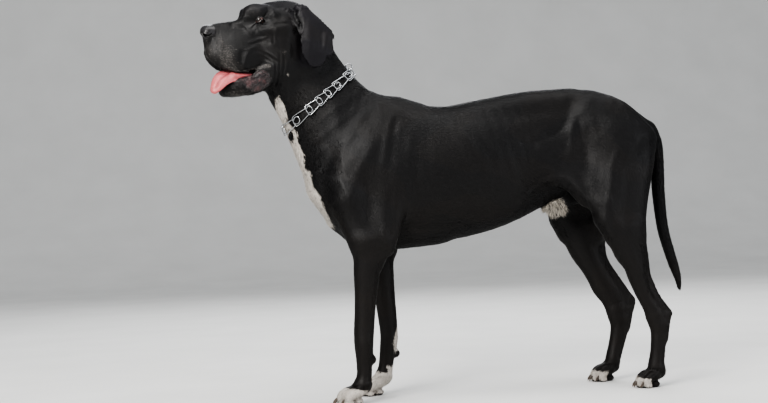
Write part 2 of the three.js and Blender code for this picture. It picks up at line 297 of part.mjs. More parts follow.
// ---- thin a mesh to a number of facets: the edge whose loss moves the surface least goes first ----
function thin({ P, T }, target, weight) {
  const nv = P.length / 3;
  let nf = T.length / 3;
  const Q = new Float64Array(nv * 10), alive = new Uint8Array(nf).fill(1), around = Array.from({ length: nv }, () => []);
  const normal = (a, b, c, o) => {
    const ux = P[b * 3] - P[a * 3], uy = P[b * 3 + 1] - P[a * 3 + 1], uz = P[b * 3 + 2] - P[a * 3 + 2];
    const vx = P[c * 3] - P[a * 3], vy = P[c * 3 + 1] - P[a * 3 + 1], vz = P[c * 3 + 2] - P[a * 3 + 2];
    o[0] = uy * vz - uz * vy; o[1] = uz * vx - ux * vz; o[2] = ux * vy - uy * vx;
    return Math.hypot(o[0], o[1], o[2]);
  };
  const m = [0, 0, 0], m2 = [0, 0, 0];
  for (let f = 0; f < nf; f++) {
    const a = T[f * 3], b = T[f * 3 + 1], c = T[f * 3 + 2];
    const L = normal(a, b, c, m);
    for (const v of [a, b, c]) around[v].push(f);
    if (L < 1e-9) continue;
    const x = m[0] / L, y = m[1] / L, z = m[2] / L, d = -(x * P[a * 3] + y * P[a * 3 + 1] + z * P[a * 3 + 2]);
    const s = L * (weight ? weight(P[a * 3], P[a * 3 + 1], P[a * 3 + 2]) : 1);
    const q = [x * x, x * y, x * z, x * d, y * y, y * z, y * d, z * z, z * d, d * d];
    for (const v of [a, b, c]) for (let i = 0; i < 10; i++) Q[v * 10 + i] += q[i] * s;
  }
  const stamp = new Int32Array(nv), heap = [];
  const push = (e) => { heap.push(e); let i = heap.length - 1; while (i > 0) { const p = (i - 1) >> 1; if (heap[p][0] <= heap[i][0]) break; [heap[p], heap[i]] = [heap[i], heap[p]]; i = p; } };
  const pop = () => { const top = heap[0], last = heap.pop(); if (heap.length) { heap[0] = last; let i = 0; for (;;) { let l = 2 * i + 1; if (l >= heap.length) break; if (l + 1 < heap.length && heap[l + 1][0] < heap[l][0]) l++; if (heap[l][0] >= heap[i][0]) break; [heap[l], heap[i]] = [heap[i], heap[l]]; i = l; } } return top; };
  const q = new Float64Array(10);
  const err = (x, y, z) => q[0] * x * x + 2 * q[1] * x * y + 2 * q[2] * x * z + 2 * q[3] * x + q[4] * y * y + 2 * q[5] * y * z + 2 * q[6] * y + q[7] * z * z + 2 * q[8] * z + q[9];
  const consider = (a, b) => {
    for (let i = 0; i < 10; i++) q[i] = Q[a * 10 + i] + Q[b * 10 + i];
    const det = q[0] * (q[4] * q[7] - q[5] * q[5]) - q[1] * (q[1] * q[7] - q[5] * q[2]) + q[2] * (q[1] * q[5] - q[4] * q[2]);
    const ax = P[a * 3], ay = P[a * 3 + 1], az = P[a * 3 + 2], bx = P[b * 3], by = P[b * 3 + 1], bz = P[b * 3 + 2];
    const mx = (ax + bx) / 2, my = (ay + by) / 2, mz = (az + bz) / 2, len2 = (ax - bx) ** 2 + (ay - by) ** 2 + (az - bz) ** 2;
    let best = null;
    const tr = q[0] + q[4] + q[7];
    if (Math.abs(det) > 1e-4 * tr ** 3) {
      const x = (-q[3] * (q[4] * q[7] - q[5] * q[5]) + q[6] * (q[1] * q[7] - q[5] * q[2]) - q[8] * (q[1] * q[5] - q[4] * q[2])) / det;
      const y = (-q[0] * (q[6] * q[7] - q[8] * q[5]) + q[3] * (q[1] * q[7] - q[2] * q[5]) - q[2] * (q[1] * q[8] - q[6] * q[2])) / det;
      const z = (-q[0] * (q[4] * q[8] - q[5] * q[6]) + q[1] * (q[1] * q[8] - q[6] * q[2]) - q[3] * (q[1] * q[5] - q[4] * q[2])) / det;
      if ((x - mx) ** 2 + (y - my) ** 2 + (z - mz) ** 2 < len2) best = [err(x, y, z), x, y, z];
    }
    if (!best) for (const [x, y, z] of [[mx, my, mz], [ax, ay, az], [bx, by, bz]]) { const e = err(x, y, z); if (!best || e < best[0]) best = [e, x, y, z]; }
    push([Math.max(best[0], 0) + 0.04 * len2, a, b, stamp[a], stamp[b], best[1], best[2], best[3], 0]);
  };
  for (let f = 0; f < nf; f++) for (let e = 0; e < 3; e++) { const a = T[f * 3 + e], b = T[f * 3 + ((e + 1) % 3)]; if (a < b) consider(a, b); }
  while (nf > target && heap.length) {
    const [cost, a, b, sa, sb, x, y, z, tries] = pop();
    if (stamp[a] !== sa || stamp[b] !== sb) continue;
    const fa = around[a].filter((f) => alive[f]), fb = around[b].filter((f) => alive[f]);
    around[a] = fa; around[b] = fb;
    const na = new Set(), nb = new Set();
    for (const f of fa) for (let i = 0; i < 3; i++) na.add(T[f * 3 + i]);
    for (const f of fb) for (let i = 0; i < 3; i++) nb.add(T[f * 3 + i]);
    let shared = 0;
    for (const v of na) if (v !== a && v !== b && nb.has(v)) shared++;
    const both = fa.filter((f) => T[f * 3] === b || T[f * 3 + 1] === b || T[f * 3 + 2] === b);
    if (shared !== 2 || both.length !== 2 || na.size + nb.size - 4 < 6) continue;
    let bad = false;
    for (const [v, fs] of [[a, fa], [b, fb]]) {
      const ox = P[v * 3], oy = P[v * 3 + 1], oz = P[v * 3 + 2];
      for (const f of fs) {
        if (both.includes(f)) continue;
        const L0 = normal(T[f * 3], T[f * 3 + 1], T[f * 3 + 2], m);
        P[v * 3] = x; P[v * 3 + 1] = y; P[v * 3 + 2] = z;
        const L1 = normal(T[f * 3], T[f * 3 + 1], T[f * 3 + 2], m2);
        let longest = 0;
        for (let i = 0; i < 3; i++) { const p = T[f * 3 + i], r = T[f * 3 + ((i + 1) % 3)]; longest = Math.max(longest, (P[p * 3] - P[r * 3]) ** 2 + (P[p * 3 + 1] - P[r * 3 + 1]) ** 2 + (P[p * 3 + 2] - P[r * 3 + 2]) ** 2); }
        P[v * 3] = ox; P[v * 3 + 1] = oy; P[v * 3 + 2] = oz;
        const turned = L0 > 1e-9 && m[0] * m2[0] + m[1] * m2[1] + m[2] * m2[2] < 0.2 * L0 * L1;
        if ((turned && L0 > 0.02 * longest) || (L1 < 0.06 * longest && L1 < 0.9 * L0) || L1 < 1e-4 * longest) { bad = true; break; }
      }
      if (bad) break;
    }
    if (bad) { if (tries < 8) push([cost * 1.6 + 0.5, a, b, sa, sb, x, y, z, tries + 1]); continue; }
    for (const f of both) { alive[f] = 0; nf--; }
    for (const f of fb) if (alive[f]) { for (let i = 0; i < 3; i++) if (T[f * 3 + i] === b) T[f * 3 + i] = a; around[a].push(f); }
    around[a] = around[a].filter((f) => alive[f]); around[b] = [];
    P[a * 3] = x; P[a * 3 + 1] = y; P[a * 3 + 2] = z;
    for (let i = 0; i < 10; i++) Q[a * 10 + i] += Q[b * 10 + i];
    stamp[a]++; stamp[b]++;
    const ring = new Set();
    for (const f of around[a]) for (let i = 0; i < 3; i++) if (T[f * 3 + i] !== a) ring.add(T[f * 3 + i]);
    for (const v of ring) consider(a, v);
  }
  const used = new Map(), OP = [], OT = [];
  for (let f = 0; f < alive.length; f++) if (alive[f]) for (let i = 0; i < 3; i++) {
    const v = T[f * 3 + i];
    if (!used.has(v)) { used.set(v, OP.length / 3); OP.push(P[v * 3], P[v * 3 + 1], P[v * 3 + 2]); }
    OT.push(used.get(v));
  }
  return { P: Float64Array.from(OP), T: Int32Array.from(OT) };
}

// ---- solids for joining and cutting ----
const toManifold = ({ P, T }) => new wasm.Manifold(new wasm.Mesh({ numProp: 3, vertProperties: Float32Array.from(P), triVerts: Uint32Array.from(T) }));
const largest = (m) => m.decompose().reduce((a, b) => (b.volume() > a.volume() ? b : a));
function fromGeometry(g, matrix) {
  const w = g.clone();
  if (matrix) w.applyMatrix4(matrix);
  const map = new Map(), P = [], T = [], pos = w.attributes.position, ix = w.index ? w.index.array : [...Array(pos.count).keys()], of = [];
  for (let i = 0; i < pos.count; i++) {
    const key = [pos.getX(i), pos.getY(i), pos.getZ(i)].map((v) => Math.round(v * 1e3)).join();
    if (!map.has(key)) { map.set(key, P.length / 3); P.push(pos.getX(i), pos.getY(i), pos.getZ(i)); }
    of.push(map.get(key));
  }
  for (let i = 0; i < ix.length; i += 3) { const t = [of[ix[i]], of[ix[i + 1]], of[ix[i + 2]]]; if (t[0] !== t[1] && t[1] !== t[2] && t[0] !== t[2]) T.push(...t); }
  return toManifold({ P, T });
}
// a block whose face passes through the point, filling the side the normal points to
function halfSpace(point, normal, shift = 0) {
  const n = new THREE.Vector3(...normal).normalize(), S = 3000;
  const q = new THREE.Quaternion().setFromUnitVectors(new THREE.Vector3(0, 0, 1), n);
  const c = new THREE.Vector3(...point).addScaledVector(n, S / 2 + shift);
  return fromGeometry(new THREE.BoxGeometry(S, S, S), new THREE.Matrix4().compose(c, q, new THREE.Vector3(1, 1, 1)));
}
const GAP = 0.16;
function block(cuts, grow) { // the region behind every plane, grown or shrunk by the gap
  let m = null;
  for (const [p, n] of cuts) { const h = halfSpace(p, n, -grow); m = m ? m.intersect(h) : h; }
  return m;
}
function swollen(m, by) { // the same solid with its surface moved out
  const g = m.getMesh(), P = g.vertProperties, T = g.triVerts, N = new Float64Array(P.length);
  for (let i = 0; i < T.length; i += 3) {
    const [a, b, c] = [T[i] * 3, T[i + 1] * 3, T[i + 2] * 3];
    const u = new THREE.Vector3(P[b] - P[a], P[b + 1] - P[a + 1], P[b + 2] - P[a + 2]), v = new THREE.Vector3(P[c] - P[a], P[c + 1] - P[a + 1], P[c + 2] - P[a + 2]);
    const n = u.cross(v).normalize();
    for (const q of [a, b, c]) { N[q] += n.x; N[q + 1] += n.y; N[q + 2] += n.z; }
  }
  const out = new Float64Array(P.length);
  for (let i = 0; i < P.length; i += 3) { const L = Math.hypot(N[i], N[i + 1], N[i + 2]) || 1; for (let j = 0; j < 3; j++) out[i + j] = P[i + j] + (N[i + j] / L) * by * 1.25; }
  return toManifold({ P: out, T });
}
const region = (list, lo, hi, h, n, weight) => largest(toManifold(thin(polygonise(list, lo, hi, h), n, weight)));

// ---- the cuts that part the body, as a person would name the parts ----
const axis = [-0.467, 0, 0.884];
const headCut = [[-247, 0, 962], axis];
const neckCut = [[-108, 0, 756], [-0.64, 0, 0.768]];
const flip = (n) => n.map((v) => -v);
const H = (a, b, c) => headPoint(a, b, c).toArray(), HV = (a, b, c) => headVector(a, b, c).toArray();

const headMesh = region(FLESH, [-530, -125, 850], [-150, 105, 1150], 5, 1130, (x, y, z) => (x < -300 ? 2 : 1));
const jawBlock = (g) => block([[H(0, 0, -146), HV(0.05, 0, -1)], [H(-16, 0, -150), HV(1, 0, 0.25)]], g);
const noseBlock = (g) => block([[H(121, 0, -10), HV(1, 0, 0)], [H(150, 0, -33), HV(0.15, 0, 1)]], g);
const eyes = {};
for (const [side, sg] of [["left", 1], ["right", -1]]) {
  const c = headPoint(2, 41 * sg, -2);
  const ball = (r) => fromGeometry(new THREE.SphereGeometry(r, 12, 8), new THREE.Matrix4().makeTranslation(c.x, c.y, c.z));
  eyes[side] = { ball: ball(12.5), hole: ball(12.9) };
}
let head = headMesh.intersect(block([headCut], -GAP)).subtract(jawBlock(GAP)).subtract(noseBlock(GAP));
head = largest(head.subtract(eyes.left.hole).subtract(eyes.right.hole));
const jaw = largest(headMesh.intersect(block([headCut], -GAP)).intersect(jawBlock(-GAP)));
const nose = largest(headMesh.intersect(noseBlock(-GAP)));

const neckMesh = region(FLESH, [-330, -135, 600], [70, 135, 1020], 8, 295, (x, y, z) => (Math.abs((x + 172) * -0.621 + (z - 857) * 0.784) < 38 ? 5 : 1));
const neck = largest(neckMesh.intersect(block([[headCut[0], flip(axis)]], -GAP)).intersect(block([neckCut], -GAP)));

// legs: the shoulder and thigh are cut from the trunk by blocks, the rest by level cuts
const LEGS = {
  fore_left: { s: -1, cuts: [452, 178, 62], lo: [-215, -175, 40], hi: [75, -45, 600] },
  fore_right: { s: 1, cuts: [446, 176, 62], lo: [-215, 45, 40], hi: [75, 175, 600] },
  hind_left: { s: -1, cuts: [452, 232, 58], lo: [480, -185, 40], hi: [850, -20, 790] },
  hind_right: { s: 1, cuts: [452, 232, 58], lo: [440, 20, 40], hi: [850, 185, 790] },
};
const legBlock = (name, g) => {
  const L = LEGS[name];
  const planes = name.startsWith("fore")
    ? [[[0, L.s * 66, 0], [0, L.s, 0]], [[0, 0, 574], [0.25, 0, -1]], [[52, 0, 450], [-1, 0, 0.12]]]
    : [[[0, L.s * 30, 0], [0, L.s, 0]], [[500, 0, 520], [0.608, 0, -0.794]]];
  return block(planes, g);
};
const trunkMesh = region(FLESH, [-260, -185, 380], [850, 185, 900], 10, 1000);
let trunk = trunkMesh.intersect(block([[neckCut[0], flip(neckCut[1])]], -GAP));
for (const k of Object.keys(LEGS)) trunk = trunk.subtract(legBlock(k, GAP));
for (const k of Object.keys(LEGS)) trunk = trunk.subtract(block([[[0, LEGS[k].s * (k.startsWith("fore") ? 62 : 30), 0], [0, LEGS[k].s, 0]], [[0, 0, LEGS[k].cuts[0]], [0, 0, -1]], [[k.startsWith("fore") ? 100 : 430, 0, 0], [k.startsWith("fore") ? -1 : 1, 0, 0]]], GAP));
trunk = largest(trunk);
const flat = (name, geometry, material, m) => ({ name, m, material });
const pieces = [];
const add = (name, m, material) => pieces.push({ name, m, material });
add("trunk", trunk, "coat");
add("neck", neck, "coat");
add("head", head, "coat");
add("lower_jaw", jaw, "coat");
add("nose", nose, "nose");
add("eye_left", eyes.left.ball, "eye");
add("eye_right", eyes.right.ball, "eye");

const paws = {};
for (const [k, L] of Object.entries(LEGS)) {
  const leg = region(FLESH, L.lo, L.hi, 7, k.startsWith("fore") ? 400 : 480);
  const [z1, z2, z3] = L.cuts, front = k.startsWith("fore");
  const below = (z) => [[0, 0, z], [0, 0, -1]], above = (z) => [[0, 0, z], [0, 0, 1]];
  const upper = leg.intersect(legBlock(k, -GAP)).intersect(block([above(z1)], -GAP));
  const lower = leg.intersect(block([below(z1), above(z2), [[0, L.s * (front ? 62 : 30), 0], [0, L.s, 0]]], -GAP));
  const pastern = leg.intersect(block([below(z2), above(z3)], -GAP));
  add(k + (front ? "_arm" : "_thigh"), largest(upper), "coat");
  add(k + (front ? "_forearm" : "_gaskin"), largest(lower), "coat");
  add(k + "_pastern", largest(pastern), "coat");
  const f = clawSpots.filter((c) => c.foot === k).flatMap((c) => c.points);
  const xs = f.map((p) => p.x), ys = f.map((p) => p.y);
  const paw = region(FLESH, [Math.min(...xs) - 20, Math.min(...ys) - 30, -6], [Math.max(...xs) + 95, Math.max(...ys) + 30, z3 + 12], 3.5, 205);
  paws[k] = largest(paw.intersect(block([below(z3), above(2.2)], -GAP)));
  add(k + "_paw", paws[k], "paw");
}

// tail: two lengths, resting 0.3 mm behind the rump
const tailMesh = region(tailSolids, [740, -40, 250], [890, 40, 780], 5, 260);
const tailFree = tailMesh.subtract(swollen(trunk, 0.35)).subtract(swollen(pieces.find((p) => p.name === "hind_left_thigh").m, 0.35)).subtract(swollen(pieces.find((p) => p.name === "hind_right_thigh").m, 0.35));
add("tail_upper", largest(tailFree.intersect(block([[[0, 0, 520], [0, 0, 1]]], -GAP))), "coat");
add("tail_lower", largest(tailFree.intersect(block([[[0, 0, 520], [0, 0, -1]]], -GAP))), "coat");

// ears and tongue
const swollenHead = swollen(head, 0.35), swollenNeck = swollen(neck, 0.35);
for (const [side, sg] of [["left", 1], ["right", -1]]) {
  const list = fromTable(EAR, sg);
  const lo = [0, 1, 2].map((i) => Math.min(...list.map((p) => p.lo[i])) - 4), hi = [0, 1, 2].map((i) => Math.max(...list.map((p) => p.hi[i])) + 4);
  const ear = region(list, lo, hi, 3, 165);
  add("ear_" + side, largest(ear.subtract(swollenHead).subtract(swollenNeck)), "coat");
}
{
  const list = fromTable(TONGUE);
  const lo = [0, 1, 2].map((i) => Math.min(...list.map((p) => p.lo[i])) - 4), hi = [0, 1, 2].map((i) => Math.max(...list.map((p) => p.hi[i])) + 4);
  const t = region(list, lo, hi, 3, 130);
  add("tongue", largest(t.subtract(swollenHead).subtract(swollen(jaw, 0.35))), "tongue");
}

// claws: short hooked cones, blunt at the tip
function hook(points, radii, side, n = 5) {
  const curve = new THREE.CatmullRomCurve3(points), rows = radii.length, P = [], T = [];
  for (let i = 0; i < rows; i++) {
    const t = i / (rows - 1), c = curve.getPoint(t), d = curve.getTangent(t), u = side.clone().normalize(), v = new THREE.Vector3().crossVectors(d, u);
    for (let j = 0; j < n; j++) { const a = (j / n) * 2 * Math.PI; const p = c.clone().addScaledVector(u, Math.cos(a) * radii[i] * 0.8).addScaledVector(v, Math.sin(a) * radii[i]); P.push(p.x, p.y, p.z); }
  }
  for (let i = 0; i < rows - 1; i++) for (let j = 0; j < n; j++) { const a = i * n + j, b = i * n + ((j + 1) % n), c = a + n, d = b + n; T.push(a, b, d, a, d, c); }
  const first = P.length / 3; P.push(...points[0].toArray()); const last = first + 1; P.push(...points[points.length - 1].toArray());
  for (let j = 0; j < n; j++) { T.push(first, (j + 1) % n, j); T.push(last, (rows - 1) * n + j, (rows - 1) * n + ((j + 1) % n)); }
  let m = toManifold({ P, T });
  return m.volume() < 0 ? toManifold({ P, T: T.map((_, i) => T[i - (i % 3) + (2 - (i % 3))]) }) : m;
}
for (const c of clawSpots) {
  const claw = hook(c.points, [5, 4.8, 3.4, 1.4], c.side).subtract(swollen(paws[c.foot], 0.35)).intersect(block([[[0, 0, 2.9], [0, 0, 1]]], 0));
  add(c.name, largest(claw), "claw");
}

// collar: a chain of wire links round the neck, each two long wires with a bridge between
const collarC = new THREE.Vector3(-172, 0, 857), collarU = new THREE.Vector3(0.784, 0, 0.621), collarW = new THREE.Vector3(0, 1, 0), collarN = new THREE.Vector3(-0.621, 0, 0.784);
const fleshAround = (p) => fieldAt(FLESH, p.x, p.y, p.z);
function neckRadius(ang, lift) {
  const d = collarU.clone().multiplyScalar(Math.cos(ang)).addScaledVector(collarW, Math.sin(ang));
  let r = 160;
  for (let i = 0; i < 40; i++) { const p = collarC.clone().addScaledVector(d, r).addScaledVector(collarN, lift); const e = fleshAround(p); r -= e; if (Math.abs(e) < 0.02) break; }
  return r;
}
function wire(points, radius, closed, segs, sides = 5) {
  const g = new THREE.TubeGeometry(new THREE.CatmullRomCurve3(points, closed, "catmullrom", 0.5), segs, radius, sides, closed);
  if (closed) return fromGeometry(g);
  const P = [], T = [], pos = g.attributes.position;
  for (let i = 0; i <= segs; i++) for (let j = 0; j < sides; j++) P.push(pos.getX(i * (sides + 1) + j), pos.getY(i * (sides + 1) + j), pos.getZ(i * (sides + 1) + j));
  for (let i = 0; i < segs; i++) for (let j = 0; j < sides; j++) { const a = i * sides + j, b = i * sides + ((j + 1) % sides), c = a + sides, d = b + sides; T.push(a, c, d, a, d, b); }
  for (let j = 1; j < sides - 1; j++) { T.push(0, j, j + 1); const e = segs * sides; T.push(e, e + j + 1, e + j); }
  let m = toManifold({ P, T });
  return m.volume() < 0 ? toManifold({ P, T: T.map((_, i) => T[i - (i % 3) + (2 - (i % 3))]) }) : m;
}
const LINKS = 14, WIRE = 2;
const onNeck = (ang, lift, out) => {
  const r = neckRadius(ang, lift) + out, d = collarU.clone().multiplyScalar(Math.cos(ang)).addScaledVector(collarW, Math.sin(ang));
  return collarC.clone().addScaledVector(d, r).addScaledVector(collarN, lift);
};
let chain = null;
for (let i = 0; i < LINKS; i++) {
  const a0 = ((i - 0.12) / LINKS) * 2 * Math.PI, a1 = ((i + 1.12) / LINKS) * 2 * Math.PI, wave = i % 2 ? 0.8 : 0;
  const pts = [], n = 4;
  for (let j = 0; j <= n; j++) { const t = j / n; pts.push(onNeck(a0 + (a1 - a0) * t, 13 - 4 * t, 5.6 + wave)); }
  for (let j = n; j >= 0; j--) { const t = j / n; pts.push(onNeck(a0 + (a1 - a0) * t, -13 + 4 * t, 5.6 + wave)); }
  const w = wire(pts, WIRE, true, 10, 4);
  chain = chain ? chain.add(w) : w;
}
// a round ring hangs on the uppermost link
const ringC = onNeck(0.05, 16, 8), ringPts = [];
for (let i = 0; i < 8; i++) { const t = (i / 8) * 2 * Math.PI; ringPts.push(ringC.clone().addScaledVector(collarN, Math.cos(t) * 10).addScaledVector(collarU, Math.sin(t) * 9)); }
chain = chain.add(wire(ringPts, 2, true, 12, 5));
{
  const g = chain.getMesh();
  chain = largest(toManifold(thin({ P: Float64Array.from(g.vertProperties), T: Int32Array.from(g.triVerts) }, 1020)));
}
add("collar", largest(chain.subtract(swollen(neck, 0.35))), "steel");

// ---- the finished group: origin under the middle of the box that holds it ----
const MATERIALS = {
  coat: new THREE.MeshStandardMaterial({ color: 0x17151a, roughness: 0.5, metalness: 0 }),
  paw: new THREE.MeshStandardMaterial({ color: 0xd9d4cc, roughness: 0.7, metalness: 0 }),
  nose: new THREE.MeshStandardMaterial({ color: 0x14110f, roughness: 0.35, metalness: 0 }),
  eye: new THREE.MeshStandardMaterial({ color: 0x2a1a10, roughness: 0.12, metalness: 0 }),
  tongue: new THREE.MeshStandardMaterial({ color: 0xd9797b, roughness: 0.4, metalness: 0 }),
  claw: new THREE.MeshStandardMaterial({ color: 0x2b2624, roughness: 0.45, metalness: 0 }),
  steel: new THREE.MeshStandardMaterial({ color: 0xb9bcc0, roughness: 0.25, metalness: 1 }),
};
const box = new THREE.Box3();
for (const p of pieces) { const b = p.m.boundingBox(); box.expandByPoint(new THREE.Vector3(...b.min)); box.expandByPoint(new THREE.Vector3(...b.max)); }
const shift = new THREE.Vector3(-(box.min.x + box.max.x) / 2, -(box.min.y + box.max.y) / 2, -box.min.z);
const dog = new THREE.Group();
dog.name = "great_dane";
for (const p of pieces) {
  const g = p.m.translate(shift.toArray()).getMesh(), geometry = new THREE.BufferGeometry();
  const pos = new Float32Array((g.vertProperties.length / g.numProp) * 3);
  for (let i = 0; i < pos.length / 3; i++) for (let j = 0; j < 3; j++) pos[i * 3 + j] = g.vertProperties[i * g.numProp + j];
  geometry.setAttribute("position", new THREE.BufferAttribute(pos, 3));
  geometry.setIndex(new THREE.BufferAttribute(Uint32Array.from(g.triVerts), 1));
  geometry.computeVertexNormals();
  const mesh = new THREE.Mesh(geometry, MATERIALS[p.material].clone());
  mesh.name = p.name;
  dog.add(mesh);
}
export default dog;
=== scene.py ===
# A great dane standing square, life size: skin, short coat, eyes, tongue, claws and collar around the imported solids.
# Lengths in this file are in the solids' own design frame, in millimetres, until put() turns them into metres.
import math
import time

import bpy
import numpy as np
from concurrent.futures import ThreadPoolExecutor
from mathutils import Matrix, Vector
from mathutils.bvhtree import BVHTree


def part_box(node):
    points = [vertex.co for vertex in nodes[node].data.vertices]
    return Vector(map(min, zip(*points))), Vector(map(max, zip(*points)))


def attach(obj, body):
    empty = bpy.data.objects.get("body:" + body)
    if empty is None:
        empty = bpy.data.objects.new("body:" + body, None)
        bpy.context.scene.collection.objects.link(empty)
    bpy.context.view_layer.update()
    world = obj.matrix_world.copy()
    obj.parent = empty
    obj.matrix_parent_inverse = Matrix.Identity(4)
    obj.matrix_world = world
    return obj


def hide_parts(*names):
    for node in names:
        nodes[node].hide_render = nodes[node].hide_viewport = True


T0 = time.time()
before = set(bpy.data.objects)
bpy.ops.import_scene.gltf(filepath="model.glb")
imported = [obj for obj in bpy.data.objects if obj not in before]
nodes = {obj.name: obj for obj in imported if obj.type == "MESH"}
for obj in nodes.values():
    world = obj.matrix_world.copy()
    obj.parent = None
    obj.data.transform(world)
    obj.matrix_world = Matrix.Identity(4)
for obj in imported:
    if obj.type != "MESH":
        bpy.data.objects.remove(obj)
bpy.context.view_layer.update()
f32 = np.float32

